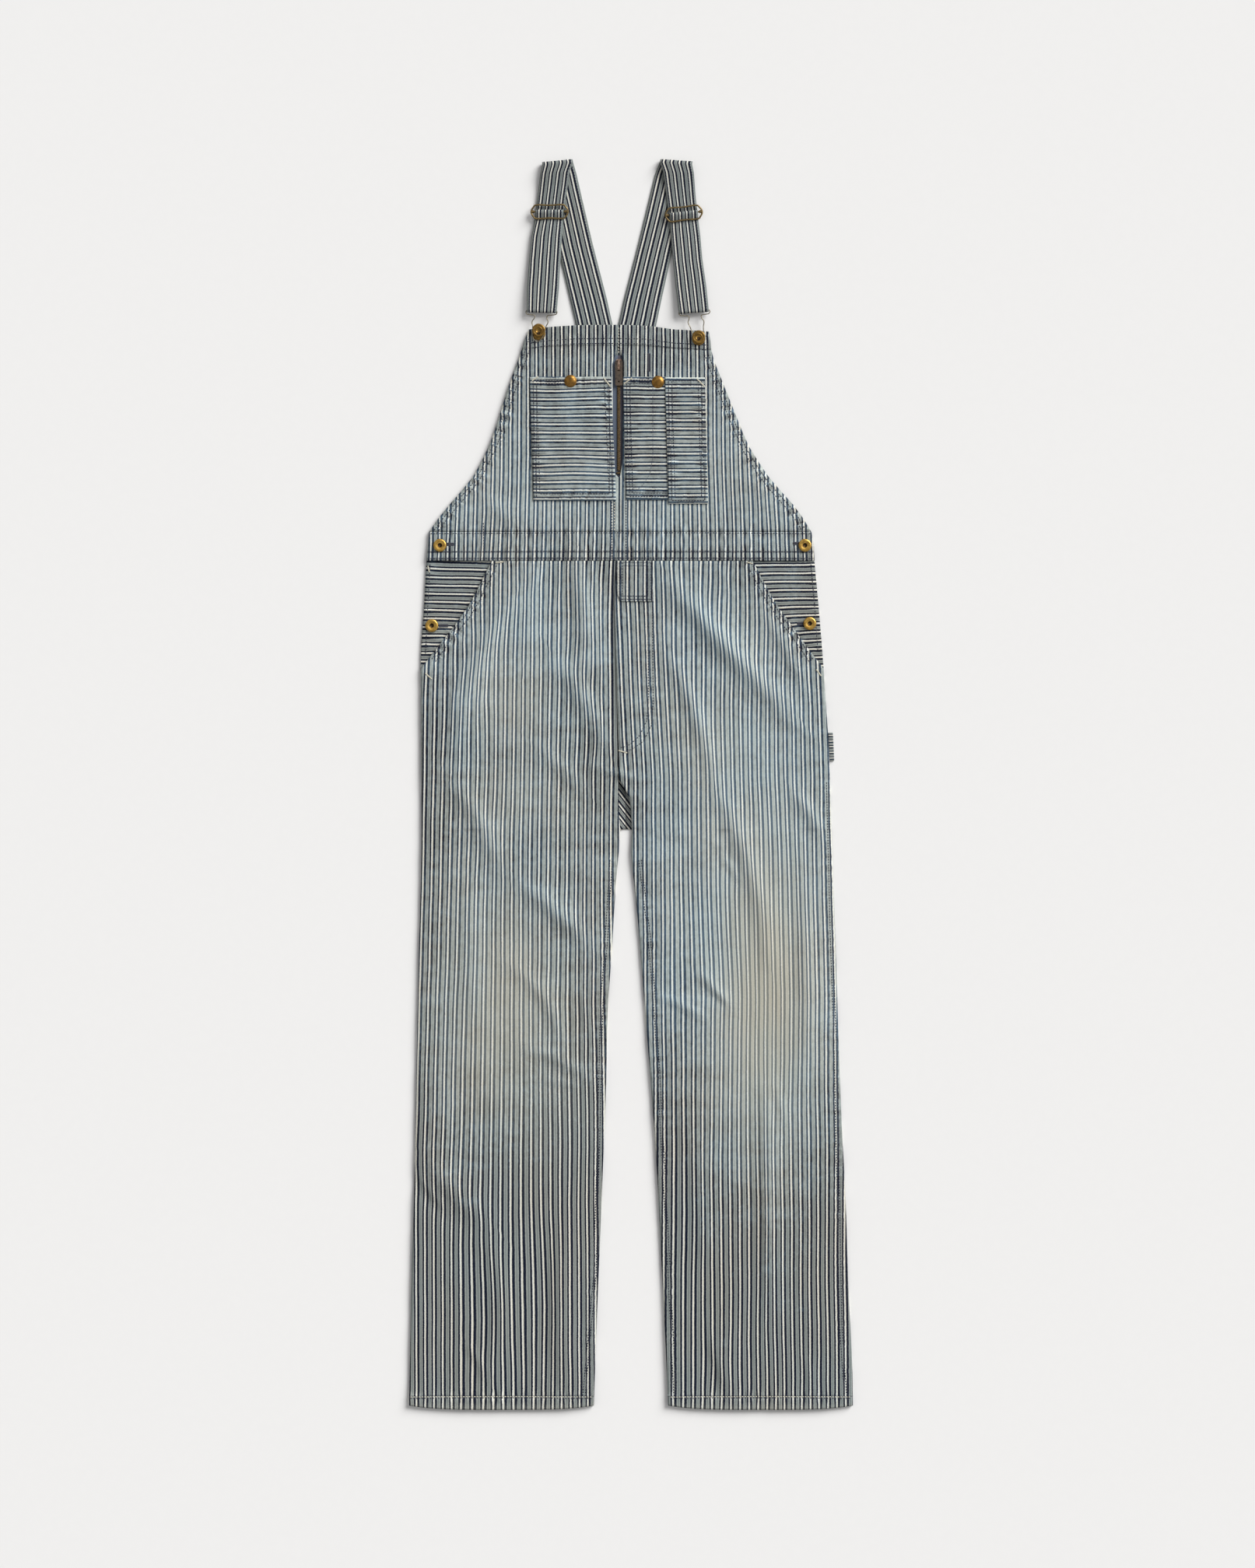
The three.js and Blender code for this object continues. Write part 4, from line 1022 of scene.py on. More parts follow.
def dress_back():
    """Back pieces and what lies between the layers."""
    plain = upright(None, LEG_REPEAT, bunching=0)
    seat = upright(SEAT_DRIFT, LEG_REPEAT, bunching=0)
    bodice = raised("back_bodice", 8, flat_lie)
    look = {"fade_and_shade": 0.35, "unsewn": True}
    cloth_piece("back_bodice", bodice, plain, look=look)
    for side in ("right", "left"):
        node = "back_leg_" + side
        look = {"fade_and_shade": 0.3, "worn": 0, "unsewn": True, "shadow": painted_rise_shadow}
        shape = raised(node, 11, flat_lie)
        cloth_piece(node, shape, seat, look=look, plies=hem_doubled)
    for side, start, lean in (("right", 0.1, -0.02), ("left", 0.4, 0.03)):
        node = "hand_pocket_" + side
        stripes = level_stripes(BIB_REPEAT, start, lean)
        look = {"fade_and_shade": 0.0, "worn": 0}
        shape = raised(node, 8, pocket_lie)
        cloth_piece(node, shape, stripes, look=look)


HEM_RUB = 0.25
HEM_RUB_WIDTH = 5
FLY_EDGE = ((518, -20.5), (620, -21), (700, -20.5), (763, -16.5), (800, -14), (863, -6))
# Strength and reach of the painted shadow beside the fly's edge.
FLY_SHADE = 0.7
FLY_SHADE_WIDTH = 5
FLY_END = 800
HEM_ROW_UP = 17.4
HEM_ROWS_APART = 4.4
HEM_ROWS_LAST = 1.45


def at_hem(x, down):
    """Cloth rubbed pale along the hem's lower edge."""
    return HEM_RUB * np.exp(-(((down - LENGTH + 2) / HEM_RUB_WIDTH) ** 2))


def painted_fly_shadow(x, down):
    """Painted shadow on the cloth beside the fly's overlapping edge."""
    levels, edge = zip(*FLY_EDGE)
    away = np.maximum(np.interp(down, levels, edge) - x, 0)
    return FLY_SHADE * np.exp(-((away / FLY_SHADE_WIDTH) ** 2)) * (down < FLY_END)


def hem_row(x, down):
    """Numbers the hem's one sunk row."""
    return np.clip(1 + (LENGTH - HEM_ROW_UP - down) / HEM_ROWS_APART, 0, HEM_ROWS_LAST)


def above_waist_seam(x, down):
    """Distance of each place from the waistband's lower edge."""
    return WAIST_END - down


def dress_front():
    """Fronts of the legs, the bib and the waistband."""
    bib_stripes = upright(BIB_DRIFT, BIB_REPEAT)
    for side, table, start in (("right", RIGHT_DRIFT, 0.0), ("left", LEFT_DRIFT, 0.35)):
        leg, bib = "front_leg_" + side, "bib_" + side
        look = {"rows": hem_row, "rubbed": at_hem}
        if side == "right":
            look["shadow"] = painted_fly_shadow
        cloth_piece(
            leg, raised(leg, 5), upright(table, LEG_REPEAT, start),
            look=look, plies=hem_doubled,
        )
        cloth_piece(
            bib, raised(bib, 4), bib_stripes,
            plies=bib_doubled,
        )
    cloth_piece(
        "waistband", raised("waistband", 5), bib_stripes,
        look={"rows": hem_rows(2.4, 11, above_waist_seam)},
        thickness=WAISTBAND_PLIES,
    )


POCKET_ROWS = (4.2, 8.6)
TAB_ROWS = (2.6, 6.6)
BIB = ["bib_right", "bib_left"]
# Each bib pocket: what lies below it, the seed of its lie, the start and the wave of its
# stripes, its cut and area, how much less it has faded, and what its sewn rows follow.
BIB_POCKETS = {
    "bib_pocket_right": (BIB, 21.0, 0.15, 1.6, (124, 184), 0.0185, 0.16, inside_box),
    "bib_pocket_left": (BIB, 31.0, 0.4, 1.6, (79, 184), 0.0118, 0.28, inside_left_open),
    "pen_pocket": (
        BIB + ["bib_pocket_left"], 41.0, 0.62, 0.6, (69, 188), 0.0105, 0.16, inside_box
    ),
}
POCKET_REPEAT = 10.75
LOOP_REPEAT = 7.0
EDGE_RUB = 0.7


def dress_patches():
    """Bib pockets, fly tab and hammer loop."""
    for node, (below, seed, start, wave, flat, area, less, sides) in BIB_POCKETS.items():
        shape = patched(node, 4, below, seed)
        stripes = level_stripes(POCKET_REPEAT, start, wave=wave)
        look = {"less": less, "rows": hem_rows(*POCKET_ROWS, sides), "edge": EDGE_RUB}
        cloth_piece(node, shape, stripes, look=look)
    tab = patched("fly_tab", 5, ["front_leg_left", "front_leg_right"], 51.0)
    cloth_piece(
        "fly_tab", tab, upright(None, LEG_REPEAT, 0.2, bunching=0),
        look={"less": 0.04, "rows": hem_rows(*TAB_ROWS, inside_box)},
    )
    loop = raised("hammer_loop", 6, flat_lie)
    cloth_piece(
        "hammer_loop", loop, level_stripes(LOOP_REPEAT),
        look={"fade_and_shade": 0.2}, thickness=HEM_PLIES,
    )


# Straps

FOLD_RADIUS = 3.5
WIRE = 1.1
HOOK_WIRE = 0.9
BACK_RUN_HEIGHT = STRAP_PLIES / 2
REAR_HEIGHT = 1.5 * STRAP_PLIES + GAP
RETURN_HEIGHT = REAR_HEIGHT + STRAP_PLIES + GAP
BAR_WRAP = WIRE + GAP + STRAP_PLIES / 2
HOOK_WRAP = HOOK_WIRE + GAP + STRAP_PLIES / 2
SLIDER_HEIGHT = RETURN_HEIGHT + BAR_WRAP
HOOK_HEIGHT = 6.6
BACK_TOP = 229.3
SLIDER_REACH = 8.2
# Edges of the straps: down, left, right, and how much higher the left edge lies.
STRAPS = {
    "right": {
        "fold": 2.7,
        "slider": (-104.5, 68, 0.01),
        "hook": (-114.6, 195.4, -0.02),
        "button": (-118.5, 220.5, 4),
        "back": [
            (0, -114.5, -76, -4), (20, -112.5, -70, -3), (95, -98, -53, -2), (195, -75, -27, 0),
            (229, -67, -20.2, 0),
        ],
        "rear": [
            (0, -114.5, -76, -4), (60, -121.5, -85, -1), (90, -126, -88, 0),
            (135, -131.5, -91, 0), (188, -134.7, -93.6, 1), (199, -133, -96, 1),
        ],
        "front": [
            (60, -122.3, -86.7, 0), (80, -122.8, -87.2, 0), (95, -127.5, -88.5, 0),
            (135, -131.5, -91, 0), (188, -134.7, -93.6, 1), (199, -133, -96, 1),
        ],
    },
    "left": {
        "fold": 2.2,
        "slider": (67.8, 70.3, 0.11),
        "hook": (81, 195.6, 0.07),
        "button": (86.8, 229, 2),
        "back": [
            (0, 39, 79.5, 3), (20, 31, 76, 2), (95, 13, 58, 1), (195, -13, 36, 0),
            (229, -19.8, 29, 0),
        ],
        "rear": [
            (0, 39, 79.5, 3), (62, 47.4, 84, -4), (92, 50.5, 88, -4), (135, 54.5, 92, -3.5),
            (189, 60, 100.4, -3), (200, 62.5, 99.5, -3),
        ],
        "front": [
            (62, 49.8, 85.4, -4), (82, 50.4, 86, -4), (97, 51.4, 88.7, -4),
            (135, 54.5, 92, -3.5), (189, 60, 100.4, -3), (200, 62.5, 99.5, -3),
        ],
    },
}
STRAP_COLUMNS = 10
STRAP_ROWS = 300
STRAP_REPEATS = 4.15
STRAP_REPEAT = 9.8
STRAP_START = 0.3
STRAP_PAINT = {"fade_and_shade": LEAST_FADE, "worn": 0.0, "rows": 0.0, "near": 0.0, "run": 0.0}
TRAVEL_STEP = 0.6
strap_lines = {}


def arc(run, down, height, radius, start, end, parts):
    """Stations on an arc of a strap's side view."""
    angles = np.radians(np.linspace(start, end, parts + 1))
    return [(run, down + radius * math.cos(a), height + radius * math.sin(a)) for a in angles]


def strap_line(side):
    """A strap's course: down, height, left, right and tilt at even steps of its length."""
    strap = STRAPS[side]
    fold_down, fold_height = strap["fold"] + FOLD_RADIUS, BACK_RUN_HEIGHT + FOLD_RADIUS
    bar_down, hook_down = strap["slider"][1], strap["hook"][1]
    cross = math.degrees(math.asin(2 * BAR_WRAP / SLIDER_REACH))
    stations = [("back", down, BACK_RUN_HEIGHT) for down in (BACK_TOP - GAP, 180, 110, 50, 20)]
    stations += arc("back", fold_down, fold_height, FOLD_RADIUS, 270, 90, 12)
    stations += [("rear", 18, fold_height + 0.62 * FOLD_RADIUS), ("rear", 34, REAR_HEIGHT + 1.4)]
    stations += [("rear", down, REAR_HEIGHT) for down in (52, 95, 130)]
    stations += [("rear", 165, REAR_HEIGHT + 1.2)]
    stations += arc("rear", hook_down, HOOK_HEIGHT, HOOK_WRAP, 270, 450, 12)
    stations += [("front", 165, RETURN_HEIGHT + 1.9), ("front", 130, RETURN_HEIGHT + 0.2)]
    stations += [("front", down, RETURN_HEIGHT) for down in (100, bar_down + SLIDER_REACH)]
    stations += arc("front", bar_down, SLIDER_HEIGHT, BAR_WRAP, 90 - cross, 255, 12)
    rows = []
    for run, down, height in stations:
        table = np.array(strap[run], float)
        rows.append([down, height] + [np.interp(down, table[:, 0], table[:, c]) for c in (1, 2, 3)])
    rows = np.array(rows)
    lengths = np.concatenate(([0], np.cumsum(np.hypot(*np.diff(rows[:, :2], axis=0).T))))
    return rows, lengths


def on_strap(side, share, length, above=0.0):
    """A point on a strap, by its share across, its place along, and its height off the middle."""
    rows, lengths = strap_lines[side]
    down, height, left, right, tilt = (np.interp(length, lengths, rows[:, c]) for c in range(5))
    before = [np.interp(length - TRAVEL_STEP, lengths, rows[:, c]) for c in (0, 1)]
    after = [np.interp(length + TRAVEL_STEP, lengths, rows[:, c]) for c in (0, 1)]
    travel = np.array([before[0] - after[0], after[1] - before[1]])
    travel = travel / max(np.hypot(*travel), 1e-9)
    rise = tilt / 2 * (1 - 2 * share)
    x = left + (right - left) * share
    return place(x, down - rise - travel[1] * above, height - travel[0] * above)


def dress_straps():
    """Each strap as one long band from the back to its slider."""
    for side in ("right", "left"):
        strap_lines[side] = strap_line(side)
        _, lengths = strap_lines[side]
        total = lengths[-1]
        band = bmesh.new()
        bmesh.ops.create_grid(band, x_segments=STRAP_COLUMNS, y_segments=STRAP_ROWS, size=1)
        shares = [(vertex.co.x + 1) / 2 for vertex in band.verts]
        along = [(vertex.co.y + 1) / 2 * total for vertex in band.verts]
        for vertex, share, length in zip(band.verts, shares, along):
            vertex.co = on_strap(side, share, length)
        node = "strap_" + side
        made = finish_mesh(node + "_cloth", band, cloth_material)
        across = np.array(shares) * STRAP_REPEATS + STRAP_START
        map_cloth(made, across, np.array(along) / STRAP_REPEAT)
        for name, value in STRAP_PAINT.items():
            paint(made, np.full(len(shares), value), name)
        give_thickness(made, STRAP_PLIES, offset=0)
        stand_for(made, node)


# Sewing

STITCH_LENGTH = 2.7
STITCH_STEP = 3.5
# Stitches are drawn wider than the thread, so they also carry painted shade of the groove beside
# them.
STITCH_WIDTH = 0.72
STITCH_HEIGHT = 0.4
STITCH_SUNK = 0.02
BIB_HEM_ROWS = (230.5, 236.8)
BIB_SIDE_ROWS = (4.6, 9.4)
WAIST_ROWS = (481.3, 505, 513.6)
SLANT_ROWS = (2.6, 8.4)
CENTRE_ROWS = (-24.5, -6.5)
LEG_SEAM_ROWS = (0, 3)
# Courses of the sewn rows, and the edges that they follow: x and down.
BIB_DROOP = ((-131, 6.4), (-108, 3), (-71, 0.6), (-21, 0), (20, 1), (54, 6), (74, 7), (97, 8.6))
RIGHT_SIDE = (
    (-134, 225), (-142, 250), (-153, 280), (-163, 310), (-172, 340), (-183, 370), (-198, 400),
    (-208, 415), (-234, 445), (-246, 460), (-257, 475),
)
LEFT_SIDE = (
    (101, 225), (104, 250), (115, 280), (127, 310), (139, 340), (152, 370), (171, 400),
    (182, 415), (209, 445), (220, 460), (229, 475),
)
RIGHT_SLANT = ((-180, 518), (-201, 561.6), (-215, 585.5), (-238.7, 613.6), (-258.4, 641.6))
LEFT_SLANT = ((157, 518), (180, 561.6), (195.5, 585.5), (217, 613.6), (236, 641.6))
# Corners of the bib pockets: top left, low left, low right, top right; and whether the side
# towards the wearer's left is sewn.
POCKET_CORNERS = [
    ((-130, 280), (-125.5, 439), (-19.2, 439), (-25.7, 280), True),
    ((-10.2, 280), (-6.5, 438), (55, 438), (50, 280), False),
    ((43.7, 281), (48, 443), (99, 443), (94.7, 281), True),
]
TAB_LEFT, TAB_RIGHT, TAB_FOOT = -17.6, 28.3, 568.5
FLY_OUTER = ((27.4, FLY_TOP), (28, 640), (28.5, 700), (26, 728), (16, 748), (2, 758), (-13, 763))
FLY_INNER = ((21.6, FLY_TOP), (22, 640), (22.6, 690), (20, 722), (11, 741), (-1, 752), (-14, 757))
WATCH_POCKET = ((28, 291), (28, 385), (24, 405), (16, 418), (5, 428))
RIGHT_INSEAM = ((-24, 900), (-30, 1000), (-36, 1085), (-40, 1250), (-45, 1435), (-59, 1590))
LEFT_INSEAM = ((10, 900), (22, 1000), (30, 1100), (38, 1250), (47, 1420), (55, 1590))
LEFT_OUTSEAM = ((254, 800), (259, 1000), (264, 1145), (268, 1345), (271, 1500), (277, 1590))


def stitch():
    """One thread stitch along x, pinched at both ends."""
    shape = bmesh.new()
    bmesh.ops.create_uvsphere(shape, u_segments=5, v_segments=4, radius=1)
    turn = Matrix.Rotation(math.pi / 2, 4, "Y")
    size = Matrix.Diagonal((STITCH_LENGTH / 2 * MM, STITCH_WIDTH * MM, STITCH_HEIGHT * MM, 1))
    bmesh.ops.transform(shape, matrix=size @ turn, verts=shape.verts)
    mesh = bpy.data.meshes.new("stitch")
    shape.to_mesh(mesh)
    shape.free()
    return mesh


def along_path(path, step):
    """Places and headings at even steps of a line through points of x and down."""
    points = np.array(path, float)
    lengths = np.concatenate(([0], np.cumsum(np.hypot(*np.diff(points, axis=0).T))))
    count = max(int(lengths[-1] / step), 1)
    spots_on = (np.arange(count) + 0.5) * lengths[-1] / count
    xs, downs = (np.interp(spots_on, lengths, points[:, c]) for c in (0, 1))
    ahead = [np.interp(spots_on + 0.5, lengths, points[:, c]) for c in (0, 1)]
    behind = [np.interp(spots_on - 0.5, lengths, points[:, c]) for c in (0, 1)]
    headings = np.arctan2(behind[1] - ahead[1], ahead[0] - behind[0])
    return list(zip(xs, downs, headings))


def inset(path, distance):
    """A line moved sideways, towards +x for a line that runs down."""
    points = np.array(path, float)
    before = np.vstack((points[:1], points[:-1]))
    after = np.vstack((points[1:], points[-1:]))
    run = after - before
    run /= np.hypot(run[:, 0], run[:, 1])[:, None]
    return points + distance * np.column_stack((run[:, 1], -run[:, 0]))


def pocket_lines(top_left, low_left, low_right, top_right, both, d):
    """One row inside a bib pocket's edges: its left side, foot, head and right side."""
    low_start, low_end = (low_left[0] + d, low_left[1] - d), (low_right[0] - d, low_right[1] - d)
    lines = [
        [(top_left[0] + d, top_left[1] + 4), low_start],
        [low_start, low_end],
        [(top_left[0] + 5, top_left[1] + d), (top_right[0] - 5, top_right[1] + d)],
    ]
    if both:
        lines.append([low_end, (top_right[0] - d, top_right[1] + 4)])
    return lines


def seam_lines():
    """Every sewn row: its thread, and its points of x and down."""
    dark = [[(x, level + droop) for x, droop in BIB_DROOP] for level in BIB_HEM_ROWS]
    dark += [inset(RIGHT_SIDE, distance) for distance in BIB_SIDE_ROWS]
    dark += [inset(LEFT_SIDE, -distance) for distance in BIB_SIDE_ROWS]
    for corners in POCKET_CORNERS:
        for distance in POCKET_ROWS:
            dark += pocket_lines(*corners, distance)
    lines = [("dark", row) for row in dark] + [("fine", WATCH_POCKET)]
    dark = []
    for level in WAIST_ROWS:
        dark.append([(-258, level), (-100, level - 1), (100, level - 1), (231, level)])
    for distance in SLANT_ROWS:
        dark += [inset(RIGHT_SLANT, distance), inset(LEFT_SLANT, -distance)]
    dark += [[(-258, 520), (-261, 575), (-264, 636)], [(231, 520), (236, 575), (240, 632)]]
    dark += [FLY_OUTER, FLY_INNER]
    for d in TAB_ROWS:
        left, right, foot = TAB_LEFT + d, TAB_RIGHT - d, TAB_FOOT - d
        dark.append([(left, TAB_TOP), (left, foot), (right, foot), (right, TAB_TOP)])
    lines += [("dark", row) for row in dark]
    lines.append(("pale", [(-16, 216), (-16, 250)]))
    lines.append(("pale", [(-21.5, CENTRE_ROWS_START), (-21.5, 478)]))
    lines.append(("plain", [(-189.5, 467), (-189, 517)]))
    lines.append(("plain", [(158, 468), (158.5, 517)]))
    for x in CENTRE_ROWS:
        lines.append(("dark", [(x, CENTRE_ROWS_START), (x, 512)]))
    # Below the pale hem row runs a row of dark stitches that stands for painted shade under the
    # hem's fold.
    for colour, level in (("pale", HEM_ROW), ("dark", HEM_ROW + HEM_SHADE_ROW_BELOW)):
        lines.append((colour, [(-284, level + 0.5), (-166, level), (-50, level + 0.5)]))
        lines.append((colour, [(50, level + 0.5), (166, level), (282, level + 0.5)]))
    for d in LEG_SEAM_ROWS:
        lines.append(("dark", inset(RIGHT_INSEAM, -d)))
        lines.append(("dark", inset(LEFT_INSEAM, d)))
        lines.append(("dark", inset(LEFT_OUTSEAM, -d)))
    return lines


BARTACKS = [
    (-127, 285, -119, 279.5),
    (-35, 281.5, -27, 292),
    (1, 281.5, -9, 289),
    (84.5, 282.5, 94, 292),
    (-174, 518.6, -164, 517.6),
    (-264, 661, -256, 668),
    (149, 518, 156, 520),
    (238, 656, 244, 664),
    (-261, 523, -259, 531),
    (-16, 760, -5, 763),
]
BARTACK_STEP = 0.75
BARTACK_LENGTH = 1.9
BUTTONHOLES = [
    (-238, 495, -227.5, 495),
    (-247, 599.5, -235, 599.5),
    (208, 494, 216.5, 494),
    (213.5, 597, 222, 597),
    (23, 250, 23, 273),
]
BUTTONHOLE_HALF = 1.2
BUTTONHOLE_STEP = 0.9
STRAP_ROW_SHARES = (0.07, 0.8, 0.93)
COVERS = [
    "front_leg_right", "front_leg_left", "bib_right", "bib_left", "waistband",
    "bib_pocket_right", "bib_pocket_left", "pen_pocket", "fly_tab",
    "hand_pocket_right", "hand_pocket_left",
]


def thread_matrix(x, down, heading, scale=(1, 1, 1), sunk=STITCH_SUNK):
    """Where one stitch lies on the cloth under it, following its slope."""
    ahead = 1.2
    dx, dd = math.cos(heading) * ahead, -math.sin(heading) * ahead
    first = place(x - dx, down - dd, cover_top(x - dx, down - dd))
    last = place(x + dx, down + dd, cover_top(x + dx, down + dd))
    middle = place(x, down, cover_top(x, down) - sunk)
    slope = (last - first).normalized()
    across = Vector((0, 0, 1)).cross(slope).normalized()
    up = slope.cross(across)
    turn = Matrix((slope, across, up)).transposed().to_4x4()
    return Matrix.Translation(middle) @ turn @ Matrix.Diagonal((*scale, 1))


cover_cache = {}


def cover_top(x, down):
    """Height of the topmost cloth at one place, or of the cloth nearest to it."""
    key = (round(x, 2), round(down, 2))
    if key not in cover_cache:
        best = highest(x, down, COVERS)
        if best is None:
            start = place(x, down, ABOVE_ALL)
            nearest = [faces_up[name].find_nearest(start)[0] for name in COVERS]
            best = min(nearest, key=lambda point: (point - start).length).z
        cover_cache[key] = best / MM
    return cover_cache[key]


def sew(name, pattern, matrices, finish):
    """Joins many copies of one stitch."""
    joined = bmesh.new()
    for matrix in matrices:
        copy = pattern.copy()
        copy.transform(matrix)
        joined.from_mesh(copy)
        bpy.data.meshes.remove(copy)
    made = finish_mesh(name, joined, finish)
    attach(made, "garment")
    return made


def sew_seams(pattern, threads):
    """Every row of stitches on the laid cloth."""
    laid = {kind: [] for kind in threads}
    for kind, path in seam_lines():
        scale = (0.8, 0.6, 0.6) if kind == "fine" else (1, 1, 1)
        for x, down, heading in along_path(path, STITCH_STEP * scale[0]):
            laid[kind].append(thread_matrix(x, down, heading, scale))
    for kind, matrices in laid.items():
        sew("stitches_" + kind, pattern, matrices, threads[kind])


def sew_bartacks(pattern):
    """Close bars of thread at the pockets' corners and the fly."""
    scale = (BARTACK_LENGTH / STITCH_LENGTH, 1.1, 1.4)
    tacks = []
    for x1, down1, x2, down2 in BARTACKS:
        for x, down, heading in along_path([(x1, down1), (x2, down2)], BARTACK_STEP):
            tacks.append(thread_matrix(x, down, heading + math.pi / 2, scale, -0.1))
    finish = thread("tack_thread", (214, 208, 186), (176, 172, 156))
    sew("bartacks", pattern, tacks, finish)


def sew_buttonholes(pattern):
    """Two ridges of thread for each buttonhole, and a dark piece along its slit that is painted
    shade.
    """
    edges, slits = [], []
    for x1, down1, x2, down2 in BUTTONHOLES:
        for x, down, heading in along_path([(x1, down1), (x2, down2)], BUTTONHOLE_STEP):
            for way in (-BUTTONHOLE_HALF, BUTTONHOLE_HALF):
                at = (x + way * math.sin(heading), down + way * math.cos(heading))
                turn = heading + math.pi / 2
                edges.append(thread_matrix(*at, turn, (0.75, 1.1, 1.2), -0.1))
            slits.append(thread_matrix(x, down, heading, (0.9, 1.1, 0.7), -0.05))
    finish = thread("hole_thread", (38, 42, 58), (72, 74, 84))
    sew("buttonhole_edges", pattern, edges, finish)
    shadow = thread("slit_shadow", (20, 20, 28), (34, 32, 38))
    sew("buttonhole_slits", pattern, slits, shadow)


def strap_stitch(side, share, length, face):
    """Where one stitch lies on a face of a strap."""
    middle = on_strap(side, share, length, face)
    slope = (on_strap(side, share, length + 0.8, face) - middle).normalized()
    outward = (middle - on_strap(side, share, length)).normalized()
    across = outward.cross(slope).normalized()
    turn = Matrix((slope, across, slope.cross(across))).transposed().to_4x4()
    return Matrix.Translation(middle) @ turn


def sew_straps(pattern, finish):
    """Rows along the straps' edges, on both faces."""
    rows = []
    for side in ("right", "left"):
        total = strap_lines[side][1][-1]
        for share in STRAP_ROW_SHARES:
            for length in np.arange(4.0, total - 3, STITCH_STEP):
                for face in (-STRAP_PLIES / 2, STRAP_PLIES / 2):
                    rows.append(strap_stitch(side, share, length, face))
    sew("strap_stitches", pattern, rows, finish)


def sew_all():
    """Rows of stitches, bartacks, buttonholes and the straps' edge rows."""
    pattern = stitch()
    # The dark seam thread is darker than the thread alone: partly thread, partly painted shade of
    # the groove it lies in.
    dark = thread("seam_thread_and_groove_shade", (14, 18, 34), (44, 50, 68))
    threads = {
        "dark": dark,
        "fine": thread("fine_thread", (44, 50, 68), (70, 76, 92)),
        "pale": thread("pale_thread", (214, 208, 188), (170, 168, 156)),
        "plain": dark,
    }
    sew_seams(pattern, threads)
    sew_bartacks(pattern)
    sew_buttonholes(pattern)
    sew_straps(pattern, dark)


# Zip

TEETH_START = 268
TEETH_END = 402
TOOTH_STEP = 1.55
TOOTH_SIZE = (2.6, 1.05, 1.5)
TOOTH_AWAY = 0.85
STOP_SIZE = (6.4, 2.4, 1.8)
ZIP_X = -15.8
TAPE_LEFT = -31
TAPE_WIDTH = 28
TAPE_PLY = 1.0
TAPE_TOP = 2.5


def block(size, bevel, segments):
    """A small block with eased edges."""
    shape = bmesh.new()
    bmesh.ops.create_cube(shape, size=1)
    scale = Matrix.Diagonal((*(Vector(size) * MM), 1))
    bmesh.ops.transform(shape, matrix=scale, verts=shape.verts)
    bmesh.ops.bevel(
        shape, geom=shape.edges, offset=bevel * MM, segments=segments, affect="EDGES",
        profile=0.5, material=-1,
    )
    return shape


def dress_zip():
    """Tape, teeth, and the finish of the slider and pull."""
    shape = laid_face("zip_tape", 12, easings=0)
    x, down, _ = spots(shape)
    made = finish_mesh("zip_tape_cloth", shape, tape_cloth())
    map_cloth(made, (x - TAPE_LEFT) / TAPE_WIDTH, down / TAPE_WIDTH)
    give_thickness(made, TAPE_PLY)
    stand_for(made, "zip_tape")
    pattern = bpy.data.meshes.new("tooth")
    tooth = block(TOOTH_SIZE, 0.25, 1)
    tooth.to_mesh(pattern)
    tooth.free()
    rows = []
    for index in range(int((TEETH_END - TEETH_START) / TOOTH_STEP)):
        for way in (-1, 1):
            down = TEETH_START + (index + way / 4) * TOOTH_STEP
            at = place(ZIP_X + way * TOOTH_AWAY, down, TAPE_TOP + TOOTH_SIZE[2] / 2)
            rows.append(Matrix.Translation(at))
    brass = metal("tooth_brass", (126, 106, 74), (92, 76, 54), (50, 42, 34), 0.42)
    sew("zip_teeth", pattern, rows, brass)
    stop = block(STOP_SIZE, 0.5, 2)
    at = place(ZIP_X, TEETH_END + 1.4, TAPE_TOP + STOP_SIZE[2] / 2)
    bmesh.ops.translate(stop, verts=stop.verts, vec=at)
    made = finish_mesh("zip_stop", stop, brass)
    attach(made, "garment")
    bronze = metal("slider_bronze", (206, 176, 156), (128, 98, 78), (52, 40, 34), 0.3)
    dress_node("zip_slider", bronze)
    dress_node("zip_pull", metal("pull_bronze", (120, 106, 92), (84, 76, 70), (38, 34, 32), 0.4))


def dress_node(name, finish):
    """A CAD node that keeps its shape gets its finish."""
    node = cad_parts[name]
    node.data.materials.clear()
    node.data.materials.append(finish)


# Brass parts

LATHE_STEPS = 48
BUTTON_HEAD = [
    (0, 0), (7.3, 0), (8.2, 0.2), (8.5, 0.6), (8.1, 1.0), (6.4, 1.15), (2.4, 1.2), (2.2, 3.4),
    (5.6, 3.4), (7.4, 3.5), (8.3, 3.9), (8.5, 4.5), (8.2, 5.1), (7.4, 5.5), (6.2, 5.35), (5.2, 4.9),
    (4.6, 5.0), (4.2, 5.25), (3.7, 5.1), (3.4, 4.3), (2.6, 3.9), (0, 3.85),
]
SIDE_HEAD = [
    (0, 0), (6.2, 0), (7.6, 0.5), (8.3, 1.2), (8.3, 1.8), (7.7, 2.5), (6.7, 2.95), (5.6, 2.95),
    (4.4, 2.6), (3.4, 2.3), (2.9, 2.35), (2.6, 2.1), (2.4, 1.2), (0, 1.1),
]
STUD_HEAD = [
    (0, 0), (7.6, 0), (8.0, 0.3), (7.9, 0.8), (7.2, 1.1), (6.6, 1.15), (5.8, 1.75), (4.6, 2.2),
    (3.2, 2.5), (1.6, 2.62), (0, 2.66),
]
SIDE_BUTTONS = [
    ("side_button_right_upper", -245.3, 496.4),
    ("side_button_right_lower", -255.8, 599.5),
    ("side_button_left_upper", 223.4, 496.4),
    ("side_button_left_lower", 229.7, 596.7),
]
STUDS = [("bib_stud_right", -77.7, 285.6), ("bib_stud_left", 34.6, 286.7)]


